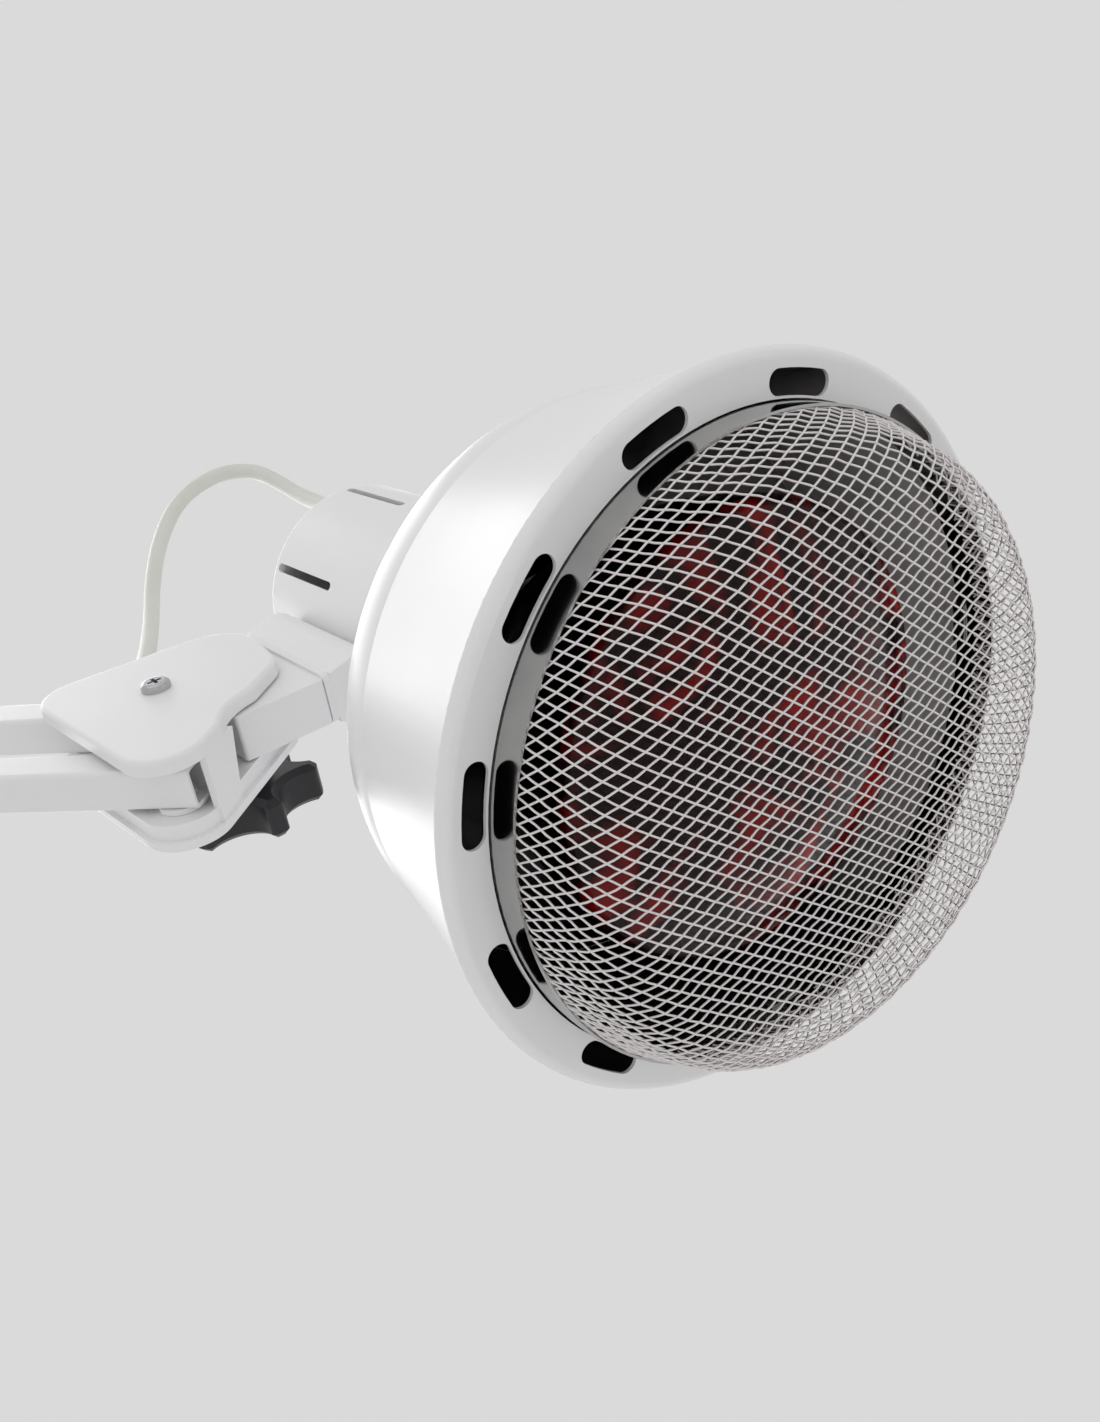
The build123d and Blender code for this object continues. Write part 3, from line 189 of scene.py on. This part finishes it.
def baked_paint(name, colour, roughness, peel_strength):
    """Baked paint on steel: a soft drift of tone and gloss over a fine orange peel, which
    breaks the edges of the reflections."""
    material, tree, shader = start_material(name)
    place = add(tree, "ShaderNodeTexCoord").outputs["Object"]
    peel = add(tree, "ShaderNodeTexNoise", {"Vector": place, "Scale": 1 / PEEL, "Detail": 2.0})
    drift = add(tree, "ShaderNodeTexNoise", {"Vector": place, "Scale": 1 / PAINT_DRIFT, "Detail": 3.0})
    tone = add(tree, "ShaderNodeMixRGB", {
        "Fac": drift.outputs[0], "Color1": linear(colour), "Color2": linear(PAINT_SHADE),
    })
    gloss = add(tree, "ShaderNodeMapRange", {
        "Value": drift.outputs[0], "To Min": roughness * 0.8, "To Max": roughness * 1.25,
    })
    bump = add(tree, "ShaderNodeBump", {
        "Height": peel.outputs[0], "Strength": peel_strength, "Distance": PEEL_DEPTH,
    })
    feed(tree, shader, {
        "Base Color": tone.outputs[0], "Roughness": gloss.outputs[0], "Normal": bump.outputs[0],
        "IOR": 1.5, "Coat Weight": 0.0,
    })
    return material


def dress(material, *nodes):
    """Gives one material to CAD nodes."""
    for name in nodes:
        mesh = frame["nodes"][name].data
        mesh.materials.clear()
        mesh.materials.append(material)


satin_coat = baked_paint("powder_coated_satin", COAT_WHITE, roughness=0.3, peel_strength=0.5)
dress(satin_coat, "clamp_body", "base_fork", "lower_front_bar", "lower_rear_bar",
      "upper_front_bar", "upper_rear_bar", "head_stem", "saddle_plate")


# Knuckle, elbow and housing: glass-filled nylon, injection moulded in one white, as are the
# bushes and washers that the bars and the stem turn on.
NYLON_WHITE = "#F3F2F3"
NYLON_SHADE = "#EDECED"
NYLON_FLOW = 30 * MM
SPARK_GRAIN = 0.4 * MM
SPARK_DEPTH = 0.04 * MM


def moulded_nylon():
    """Moulded nylon: a soft gloss, and light that sinks in a little. The spark grain of the
    mould is really finer; it is drawn at 0.4 mm so that it shows."""
    material, tree, shader = start_material("moulded_white_nylon")
    place = add(tree, "ShaderNodeTexCoord").outputs["Object"]
    grain = add(tree, "ShaderNodeTexNoise", {"Vector": place, "Scale": 1 / SPARK_GRAIN, "Detail": 1.0})
    flow = add(tree, "ShaderNodeTexNoise", {"Vector": place, "Scale": 1 / NYLON_FLOW, "Detail": 2.0})
    tone = add(tree, "ShaderNodeMixRGB", {
        "Fac": flow.outputs[0], "Color1": linear(NYLON_WHITE), "Color2": linear(NYLON_SHADE),
    })
    gloss = add(tree, "ShaderNodeMapRange", {"Value": grain.outputs[0], "To Min": 0.3, "To Max": 0.42})
    bump = add(tree, "ShaderNodeBump", {
        "Height": grain.outputs[0], "Strength": 0.12, "Distance": SPARK_DEPTH,
    })
    feed(tree, shader, {
        "Base Color": tone.outputs[0], "Roughness": gloss.outputs[0], "Normal": bump.outputs[0],
        "IOR": 1.53, "Subsurface Weight": 0.08, "Subsurface Radius": (0.0015, 0.0014, 0.0013),
    })
    return material


dress(moulded_nylon(), "elbow_cover", "elbow_body", "knuckle_cover", "knuckle_body",
      "socket_housing", "rear_cap", "lower_front_bushes", "lower_rear_bushes",
      "upper_front_bushes", "upper_rear_bushes", "tilt_washers")


# Post, clamp screw, pins, bolts, screws and clips: turned or pressed steel with a bright zinc
# plating. The guard's hoop is rolled stainless steel, polished and clipped into the ring.
ZINC = "#CBCCCD"
STAINLESS = "#C4C2BE"
METAL_SHADE = "#A9ABAC"


def bright_metal(name, colour, roughness, streak):
    """Bare or plated metal: its sheen drifts in fine streaks left by turning or drawing."""
    material, tree, shader = start_material(name)
    place = add(tree, "ShaderNodeTexCoord").outputs["Object"]
    drift = add(tree, "ShaderNodeTexNoise", {"Vector": place, "Scale": 1 / streak, "Detail": 4.0})
    tone = add(tree, "ShaderNodeMixRGB", {
        "Fac": drift.outputs[0], "Color1": linear(colour), "Color2": linear(METAL_SHADE),
    })
    gloss = add(tree, "ShaderNodeMapRange", {
        "Value": drift.outputs[0], "To Min": roughness * 0.7, "To Max": roughness * 1.4,
    })
    feed(tree, shader, {"Base Color": tone.outputs[0], "Roughness": gloss.outputs[0], "Metallic": 1.0})
    return material


zinc = bright_metal("zinc_plated_steel", ZINC, roughness=0.24, streak=2 * MM)
stainless = bright_metal("polished_stainless_hoop", STAINLESS, roughness=0.1, streak=12 * MM)
dress(zinc, "clamp_pad", "clamp_screw", "clamp_handle", "swivel_post", "fork_pin", "fork_bolt",
      "fork_knob_washer", "elbow_screws", "elbow_pins", "elbow_bolt", "elbow_knob_washer",
      "knuckle_screw", "knuckle_pins", "tilt_bolt", "tilt_knob_washer", "saddle_screws",
      "rear_cap_screws", "shade_screws", "lampholder_bracket", "lampholder_screws", "guard_clips")
dress(stainless, "guard_hoop")


# Hand knobs and jaw pad: the knobs are moulded in black glass-filled nylon over a nut, and the
# pad is a black rubber facing stuck to the clamp's jaw.
KNOB_BLACK = "#121216"
RUBBER_BLACK = "#1A1A1A"
BLACK_SHADE = "#26262A"
BLACK_GRAIN_DEPTH = 0.06 * MM


def dark_surface(name, colour, roughness, grain_size):
    """Black nylon, rubber, or black painted on as shade: a dull gloss over a grain that breaks up the
    light. The grain is drawn coarser than the real one, so that it shows."""
    material, tree, shader = start_material(name)
    place = add(tree, "ShaderNodeTexCoord").outputs["Object"]
    grain = add(tree, "ShaderNodeTexNoise", {"Vector": place, "Scale": 1 / grain_size, "Detail": 2.0})
    tone = add(tree, "ShaderNodeMixRGB", {
        "Fac": grain.outputs[0], "Color1": linear(colour), "Color2": linear(BLACK_SHADE),
    })
    gloss = add(tree, "ShaderNodeMapRange", {
        "Value": grain.outputs[0], "To Min": roughness * 0.85, "To Max": roughness * 1.2,
    })
    bump = add(tree, "ShaderNodeBump", {
        "Height": grain.outputs[0], "Strength": 0.3, "Distance": BLACK_GRAIN_DEPTH,
    })
    feed(tree, shader, {
        "Base Color": tone.outputs[0], "Roughness": gloss.outputs[0], "Normal": bump.outputs[0],
        "IOR": 1.5,
    })
    return material


black_nylon = dark_surface("moulded_black_nylon", KNOB_BLACK, roughness=0.4, grain_size=0.6 * MM)
black_rubber = dark_surface("moulded_black_rubber", RUBBER_BLACK, roughness=0.7, grain_size=0.9 * MM)
dress(black_nylon, "fork_knob", "elbow_knob", "tilt_knob")
dress(black_rubber, "jaw_pad")


# Shade and ring: a bell spun from steel sheet with a pressed ring rolled on, stoved in a white
# gloss enamel outside. Inside they are painted blue-black, a painted shade for the dark that shows
# through the slots and beside the bulb, with painted light that pales it to grey on the far side.
ENAMEL_WHITE = "#F2F2F3"
# The inside colours are painted: a dark painted shade, and a grey painted light for the far side.
INSIDE_PAINTED_SHADE = "#0A0B12"
FAR_SIDE_PAINTED_LIGHT = "#CBC7C5"
PAINTED_LIGHT_FROM = 42 * MM
PAINTED_LIGHT_TO = 88 * MM
FACING_LEAST = 0.05
out_of_mouth = head_turn @ Vector((0, 0, 1))
far_side = head_turn @ Vector((1, 0, 0))


def paint_shade_inside(material, facing):
    """Painted shade over the enamel, on the side of a pressing that faces one way: dark and a little
    blue, with painted light that makes it paler the farther it lies from the knuckle."""
    tree = material.node_tree
    shader = tree.nodes["Principled BSDF"]
    enamel = shader.inputs["Base Color"].links[0].from_socket
    surface = add(tree, "ShaderNodeTexCoord")
    along = add(tree, "ShaderNodeVectorMath", {0: surface.outputs["Normal"], 1: facing},
                operation="DOT_PRODUCT")
    inside = add(tree, "ShaderNodeMath", {0: along.outputs["Value"], 1: FACING_LEAST},
                 operation="GREATER_THAN")
    from_axis = add(tree, "ShaderNodeVectorMath", {0: surface.outputs["Object"], 1: head_origin},
                    operation="SUBTRACT")
    reach = add(tree, "ShaderNodeVectorMath", {0: from_axis.outputs[0], 1: far_side},
                operation="DOT_PRODUCT")
    # Painted light: the inside pales from dark to grey towards the far side.
    painted_light_share = add(tree, "ShaderNodeMapRange", {
        "Value": reach.outputs["Value"], "From Min": PAINTED_LIGHT_FROM, "From Max": PAINTED_LIGHT_TO,
    })
    painted_inside = add(tree, "ShaderNodeMixRGB", {
        "Fac": painted_light_share.outputs[0], "Color1": linear(INSIDE_PAINTED_SHADE), "Color2": linear(FAR_SIDE_PAINTED_LIGHT),
    })
    tone = add(tree, "ShaderNodeMixRGB", {
        "Fac": inside.outputs[0], "Color1": enamel, "Color2": painted_inside.outputs[0],
    })
    feed(tree, shader, {"Base Color": tone.outputs[0]})


bell_enamel = baked_paint("stoved_enamel_bell", ENAMEL_WHITE, roughness=0.3, peel_strength=0.25)
ring_enamel = baked_paint("stoved_enamel_ring", ENAMEL_WHITE, roughness=0.2, peel_strength=0.25)
paint_shade_inside(bell_enamel, out_of_mouth)
paint_shade_inside(ring_enamel, -out_of_mouth)
dress(bell_enamel, "lamp_shade")
dress(ring_enamel, "shade_ring")


# Lampholder: a pressed porcelain body, dipped in a clear glaze and fired, screwed to its bracket
# inside the housing.
PORCELAIN = "#EFEAE0"
PORCELAIN_SHADE = "#E4DED2"
GLAZE_MOTTLE = 1.2 * MM


def glazed_porcelain():
    """Glazed porcelain: warm white and wet looking, with a faint mottle under the clear glaze."""
    material, tree, shader = start_material("glazed_porcelain")
    place = add(tree, "ShaderNodeTexCoord").outputs["Object"]
    mottle = add(tree, "ShaderNodeTexNoise", {"Vector": place, "Scale": 1 / GLAZE_MOTTLE, "Detail": 3.0})
    tone = add(tree, "ShaderNodeMixRGB", {
        "Fac": mottle.outputs[0], "Color1": linear(PORCELAIN), "Color2": linear(PORCELAIN_SHADE),
    })
    feed(tree, shader, {
        "Base Color": tone.outputs[0], "Roughness": 0.12, "Coat Weight": 0.6, "Coat Roughness": 0.05,
    })
    return material


dress(glazed_porcelain(), "lampholder")


# Reflector bulb: an envelope blown in hard glass, with a ruby dome and a bowl that has a mirror
# of aluminium inside; the bowl's outside is painted black, a painted shade for the dark that it
# shows. A pressed brass cap is cemented to its neck, and a drawn tungsten filament stands inside.
# Sizes are radius and z in mm in the head's axes; the dome stays open by a hair on the axis, so
# that every face has four sides.
BULB_RADIUS = 62.5
BULB_FRONT = 12.0
BULB_EDGE_Z = -6.0
BULB_EDGE = 4.0
BULB_WALL = 1.2
BULB_SIDES = 128
BOWL_MIDDLE = (50.5, -50.0)
BOWL_END = (26.0, -84.0)
NECK_BEND = (20.3, -96.0)
NECK_TOP = (18.5, -110.0)
NECK_MIDDLE = (18.5, -122.0)
NECK_END = (18.5, -134.0)
AXIS_GAP = 0.02
DOME_STEPS = 20
EDGE_STEPS = 8
BOWL_STEPS = 24
NECK_STEPS = 8
RUBY_DARK = "#1B0809"
RUBY_PAINTED_GLOW = "#A80F0C"
PAINTED_GLOW_SIZE = 34 * MM
GLASS_WAVES = 22 * MM
GLASS_WAVE_DEPTH = 0.8 * MM
MIRROR_PAINTED_PATCHES = 24 * MM
BOWL_PAINTED_BLACK = "#07070C"
BRASS = "#C9A860"
TUNGSTEN = "#77777A"


def arc_through(first, middle, last, steps):
    """Points on the circle arc through three points in radius and z."""
    (ax, ay), (bx, by), (cx, cy) = first, middle, last
    a, b, c = (x**2 + y**2 for x, y in (first, middle, last))
    scale = 2 * (ax * (by - cy) + bx * (cy - ay) + cx * (ay - by))
    centre_x = (a * (by - cy) + b * (cy - ay) + c * (ay - by)) / scale
    centre_y = (a * (cx - bx) + b * (ax - cx) + c * (bx - ax)) / scale
    radius = math.hypot(ax - centre_x, ay - centre_y)
    start, via, end = (math.atan2(y - centre_y, x - centre_x) for x, y in (first, middle, last))
    sweep = (end - start) % math.tau
    if (via - start) % math.tau > sweep:
        sweep -= math.tau
    turns = [start + sweep * step / steps for step in range(steps + 1)]
    return [(centre_x + radius * math.cos(turn), centre_y + radius * math.sin(turn)) for turn in turns]


def wall_inside(profile, wall):
    """The profile's inner face: each point moved in by the wall, square to the profile."""
    moved = []
    for index, (radius, z) in enumerate(profile):
        before = profile[max(index - 1, 0)]
        after = profile[min(index + 1, len(profile) - 1)]
        along = Vector((after[0] - before[0], after[1] - before[1])).normalized()
        moved.append((max(radius - along.y * wall, AXIS_GAP), z + along.x * wall))
    return moved


def spun(profile, sides):
    """Points and quads of a profile in radius and z (mm), turned about the lamp's axis."""
    turns = [math.tau * index / sides for index in range(sides)]
    points = [
        head_place @ (Vector((r * math.cos(turn), r * math.sin(turn), z)) * MM)
        for r, z in profile
        for turn in turns
    ]
    faces = []
    for row in range(len(profile) - 1):
        for index in range(sides):
            after = (index + 1) % sides
            faces.append((row * sides + index, row * sides + after,
                          (row + 1) * sides + after, (row + 1) * sides + index))
    return points, faces


def piece_from(name, points, faces, body, materials):
    """A smooth mesh piece in the row frame that rides on a body and takes the materials given."""
    mesh = bpy.data.meshes.new(name)
    mesh.from_pydata([tuple(point) for point in points], [], faces)
    for material in materials:
        mesh.materials.append(material)
    mesh.polygons.foreach_set("use_smooth", [True] * len(faces))
    mesh.update()
    made = put_in_scene(name, mesh)
    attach(made, body)
    return made


def ruby_glass():
    """Ruby glass, glossy and so deep that it looks nearly black, with red patches painted on for the
    bright bowl shining through: a painted reflection. Its depth is drawn on the surface, which isn't
    clear."""
    material, tree, shader = start_material("blown_ruby_glass")
    place = add(tree, "ShaderNodeTexCoord").outputs["Object"]
    # Painted reflection: red patches for the bright bowl shining through the glass.
    painted_glow = add(tree, "ShaderNodeTexNoise", {
        "Vector": place, "Scale": 1 / PAINTED_GLOW_SIZE, "Detail": 3.0, "Distortion": 1.2,
    })
    share = add(tree, "ShaderNodeMapRange", {"Value": painted_glow.outputs[0], "From Min": 0.47, "From Max": 0.74})
    tone = add(tree, "ShaderNodeMixRGB", {
        "Fac": share.outputs[0], "Color1": linear(RUBY_DARK), "Color2": linear(RUBY_PAINTED_GLOW),
    })
    wave = add(tree, "ShaderNodeTexNoise", {"Vector": place, "Scale": 1 / GLASS_WAVES, "Detail": 1.0})
    bump = add(tree, "ShaderNodeBump", {
        "Height": wave.outputs[0], "Strength": 0.2, "Distance": GLASS_WAVE_DEPTH,
    })
    feed(tree, shader, {
        "Base Color": tone.outputs[0], "Normal": bump.outputs[0],
        "Roughness": 0.14, "IOR": 1.25, "Coat Weight": 0.1, "Coat Roughness": 0.03,
    })
    return material


def aluminised_bowl():
    """Evaporated aluminium: a mirror inside the bowl, painted black in soft patches between bright ones, a
    painted reflection.
    """
    material, tree, shader = start_material("evaporated_aluminium")
    place = add(tree, "ShaderNodeTexCoord").outputs["Object"]
    # Painted reflection: black patches between bright ones on the mirror.
    painted_patch = add(tree, "ShaderNodeTexNoise", {"Vector": place, "Scale": 1 / MIRROR_PAINTED_PATCHES, "Detail": 3.0})
    tone = add(tree, "ShaderNodeMapRange", {
        "Value": painted_patch.outputs[0], "From Min": 0.5, "From Max": 0.62, "To Min": 0.01, "To Max": 1.0,
    })
    colour = add(tree, "ShaderNodeCombineColor", dict.fromkeys(("Red", "Green", "Blue"), tone.outputs[0]))
    gloss = add(tree, "ShaderNodeMapRange", {"Value": painted_patch.outputs[0], "To Min": 0.12, "To Max": 0.35})
    feed(tree, shader, {"Base Color": colour.outputs[0], "Roughness": gloss.outputs[0], "Metallic": 1.0})
    return material


diagonal = math.sqrt(0.5)
dome_edge = (BULB_RADIUS - BULB_EDGE, BULB_EDGE_Z + BULB_EDGE)
dome_rise = BULB_FRONT - dome_edge[1]
dome_radius = (dome_edge[0] ** 2 + dome_rise**2) / (2 * dome_rise)
half_reach = dome_edge[0] / 2
half_z = BULB_FRONT - dome_radius + math.sqrt(dome_radius**2 - half_reach**2)
edge_middle = (dome_edge[0] + BULB_EDGE * diagonal, BULB_EDGE_Z + BULB_EDGE * diagonal)
bowl_start = (BULB_RADIUS, BULB_EDGE_Z)
front_profile = arc_through((AXIS_GAP, BULB_FRONT), (half_reach, half_z), dome_edge, DOME_STEPS)
front_profile += arc_through(dome_edge, edge_middle, bowl_start, EDGE_STEPS)[1:]
bowl_profile = arc_through(bowl_start, BOWL_MIDDLE, BOWL_END, BOWL_STEPS)
bowl_profile += arc_through(BOWL_END, NECK_BEND, NECK_TOP, NECK_STEPS)[1:]
bowl_profile += [NECK_MIDDLE, NECK_END]
glass_outside = front_profile + bowl_profile[1:]
glass_inside = wall_inside(front_profile, BULB_WALL) + wall_inside(bowl_profile, BULB_WALL)[1:]
glass_profile = glass_outside + glass_inside[::-1]
front_rows = len(front_profile) - 1
painted_dark_rows = range(front_rows, len(glass_outside))
mirror_rows = range(len(glass_outside), len(glass_profile) - 1 - front_rows)

# Painted shade: the bowl's outside is drawn black for the dark that it shows.
painted_dark_bowl = dark_surface("dark_painted_bowl_glass", BOWL_PAINTED_BLACK, roughness=0.3, grain_size=3 * MM)
bulb_points, bulb_faces = spun(glass_profile, BULB_SIDES)
envelope = piece_from("bulb_envelope", bulb_points, bulb_faces, "head",
                      [ruby_glass(), painted_dark_bowl, aluminised_bowl()])
for polygon in envelope.data.polygons:
    row = polygon.index // BULB_SIDES
    if row in painted_dark_rows:
        polygon.material_index = 1
    elif row in mirror_rows:
        polygon.material_index = 2
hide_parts("bulb_glass")

dress(bright_metal("pressed_brass", BRASS, roughness=0.28, streak=3 * MM), "bulb_cap")
dress(bright_metal("drawn_tungsten", TUNGSTEN, roughness=0.35, streak=1 * MM), "bulb_filament")


# Wire guard: a flat sheet of woven steel wire, pressed into a shallow basket and lacquered. The
# wires run in two straight families over the front, bend round the crease and crowd together on
# the side, where their ends stand inside the polished hoop. Sizes are in mm.
WIRE = 0.55
WIRE_PITCH = 3.2
WIRE_ANGLES = (-40.0, 21.3)
WIRE_SIDES = 5
WEAVE = 0.2
CREASE = 78.5
CREASE_ROUND = 16.0
CREASE_STEPS = 8
GUARD_FRONT = 33.0
GUARD_DOME = 3.5
GUARD_ROOT = 86.0
FRONT_STEPS = 40
HOOP_TOP = 8.8
ROOT_END = 3.0
EDGE_MARGIN = 0.5
END_GAP = 0.01
LEAST_SIDE = 0.01
WIRE_LACQUER = "#EDE4E2"


def guard_profile():
    """The basket's outline in radius and z, from the middle of the front down to the hoop."""
    lean = Vector((GUARD_ROOT - CREASE, HOOP_TOP - GUARD_FRONT)).normalized()
    turn = Vector((1.0, 0.0)).angle(lean)
    back_off = CREASE_ROUND * math.tan(turn / 2)
    start = CREASE - back_off
    end = Vector((CREASE, GUARD_FRONT)) + lean * back_off
    reaches = [start * i / FRONT_STEPS for i in range(FRONT_STEPS + 1)]
    front = [(r, GUARD_FRONT + GUARD_DOME * (1 - (r / start) ** 2)) for r in reaches]
    bends = [turn * i / CREASE_STEPS for i in range(1, CREASE_STEPS)]
    crease = [
        (start + CREASE_ROUND * math.sin(bend), GUARD_FRONT - CREASE_ROUND * (1 - math.cos(bend)))
        for bend in bends
    ]
    return front + crease + [tuple(end), (GUARD_ROOT, HOOP_TOP), (GUARD_ROOT, ROOT_END)]


outline = guard_profile()
lengths = [0.0]
for before, after in zip(outline, outline[1:]):
    lengths.append(lengths[-1] + math.dist(before, after))


def on_basket(u, v, lift):
    """Where a point of the flat sheet ends up on the pressed basket, in the head's axes."""
    flat = math.hypot(u, v)
    if flat > lengths[-1]:
        return None
    index = max(i for i, length in enumerate(lengths[:-1]) if length <= flat)
    share = (flat - lengths[index]) / (lengths[index + 1] - lengths[index])
    (r0, z0), (r1, z1) = outline[index], outline[index + 1]
    normal = Vector((z0 - z1, r1 - r0)).normalized()
    r = r0 + (r1 - r0) * share + normal.x * lift
    z = z0 + (z1 - z0) * share + normal.y * lift
    angle = math.atan2(v, u)
    return Vector((r * math.cos(angle), r * math.sin(angle), z))


def wire_tube(line, points, faces):
    """Adds a thin round wire along a line of points."""
    first = len(points)
    for index, point in enumerate(line):
        before = line[max(index - 1, 0)]
        after = line[min(index + 1, len(line) - 1)]
        along = (after - before).normalized()
        side = along.cross(Vector((0, 0, 1)))
        side = side.normalized() if side.length > LEAST_SIDE else Vector((1, 0, 0))
        rise = side.cross(along)
        for step in range(WIRE_SIDES):
            turn = math.tau * step / WIRE_SIDES
            edge = point + (side * math.cos(turn) + rise * math.sin(turn)) * (WIRE / 2)
            points.append(head_place @ (edge * MM))
    for index in range(len(line) - 1):
        row = first + index * WIRE_SIDES
        for step in range(WIRE_SIDES):
            after = (step + 1) % WIRE_SIDES
            faces.append((row + step, row + after, row + WIRE_SIDES + after, row + WIRE_SIDES + step))


def guard_wires():
    """All the wires of both families, each going over and under the other family's."""
    points, faces = [], []
    between = math.radians(WIRE_ANGLES[1] - WIRE_ANGLES[0])
    cell = WIRE_PITCH / math.sin(between)
    reach = lengths[-1]
    count = int(reach / WIRE_PITCH) + 1
    for family, angle in enumerate(WIRE_ANGLES):
        way = Vector((math.cos(math.radians(angle)), math.sin(math.radians(angle))))
        across = Vector((-way.y, way.x))
        slide = cell * math.cos(between) * (1 if family else -1)
        for number in range(-count, count + 1):
            offset = number * WIRE_PITCH
            if abs(offset) >= reach - EDGE_MARGIN:
                continue
            half = math.sqrt(reach**2 - offset**2) - END_GAP
            shift = number * slide
            steps = int(half / (cell / 2)) + 1
            line = []
            for step in range(-steps - 2, steps + 1):
                t = step * cell / 2 + shift % cell
                if abs(t) > half:
                    continue
                over = math.cos(math.pi * (t - shift) / cell + math.pi * (number + family))
                flat = way * t + across * offset
                seat = on_basket(flat.x, flat.y, WEAVE * over)
                if seat:
                    line.append(seat)
            if len(line) > 2:
                wire_tube(line, points, faces)
    return points, faces


lacquered_wire = baked_paint("lacquered_steel_wire", WIRE_LACQUER, roughness=0.35, peel_strength=0.1)
wire_points, wire_faces = guard_wires()
guard_net = piece_from("guard_net", wire_points, wire_faces, "head", [lacquered_wire])
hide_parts("guard_mesh")


# Head cord: a round two-core flex in a soft white PVC sheath, with the gland and grommets that
# hold it moulded in the same PVC. It leaves the gland at the back of the socket housing, swings
# over in one loose loop and goes in between the knuckle's plates. The route is in mm.
CORD_DIAMETER = 6.0 * MM
CORD_SIDES = 16
CORD_STEPS = 12
CORD_ROUTE = [
    (0.0, 29.5, -216.0),
    (0.0, 29.5, -236.0),
    (0.5, 33.0, -256.0),
    (-2.0, 37.0, -273.0),
    (-12.0, 36.5, -287.0),
    (-29.0, 30.0, -291.0),
    (-45.0, 21.0, -279.0),
    (-59.0, 12.0, -260.0),
    (-71.0, 4.0, -238.0),
    (-84.0, 0.0, -215.0),
    (-97.0, 0.0, -193.0),
]
CORD_WHITE = "#E3E4DC"
CORD_SHADE = "#D7D8CF"
CORE_TWIST = 9 * MM
TWIST_DEPTH = 0.6 * MM


def pvc_sheath():
    """Extruded PVC: soft and satin, with the faint ripple of the twisted cores under it."""
    material, tree, shader = start_material("extruded_pvc_sheath")
    place = add(tree, "ShaderNodeTexCoord").outputs["Object"]
    ripple = add(tree, "ShaderNodeTexNoise", {"Vector": place, "Scale": 1 / CORE_TWIST, "Detail": 2.0})
    tone = add(tree, "ShaderNodeMixRGB", {
        "Fac": ripple.outputs[0], "Color1": linear(CORD_WHITE), "Color2": linear(CORD_SHADE),
    })
    bump = add(tree, "ShaderNodeBump", {
        "Height": ripple.outputs[0], "Strength": 0.15, "Distance": TWIST_DEPTH,
    })
    feed(tree, shader, {
        "Base Color": tone.outputs[0], "Normal": bump.outputs[0], "Roughness": 0.42, "IOR": 1.53,
        "Subsurface Weight": 0.12, "Subsurface Radius": (0.002, 0.002, 0.0018),
    })
    return material


def mesh_of(curve):
    """The curve as a mesh, with the bevel that it has now."""
    bpy.context.view_layer.update()
    depsgraph = bpy.context.evaluated_depsgraph_get()
    return bpy.data.meshes.new_from_object(curve.evaluated_get(depsgraph))


sheath = pvc_sheath()
dress(sheath, "cord_gland", "knuckle_grommet", "lead_grommet")
cord_data = bpy.data.curves.new("head_flex_line", "CURVE")
cord_data.dimensions = "3D"
cord_data.resolution_u = CORD_STEPS
cord_line = cord_data.splines.new("NURBS")
cord_line.points.add(len(CORD_ROUTE) - 1)
for point, seat in zip(cord_line.points, CORD_ROUTE):
    point.co = (*(head_place @ (Vector(seat) * MM)), 1.0)
cord_line.order_u = 3
cord_line.use_endpoint_u = True
cord_curve = put_in_scene("head_flex_line", cord_data)
cord_path = [vertex.co.copy() for vertex in mesh_of(cord_curve).vertices]
cord_data.bevel_depth = CORD_DIAMETER / 2
cord_data.bevel_resolution = CORD_SIDES // 4
cord_data.use_fill_caps = True
cord_mesh = mesh_of(cord_curve)
bpy.data.objects.remove(cord_curve)
cord_mesh.materials.clear()
cord_mesh.materials.append(sheath)
cord_mesh.polygons.foreach_set("use_smooth", [True] * len(cord_mesh.polygons))
head_flex = put_in_scene("head_flex", cord_mesh)
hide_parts("head_cord")
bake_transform(head_flex)
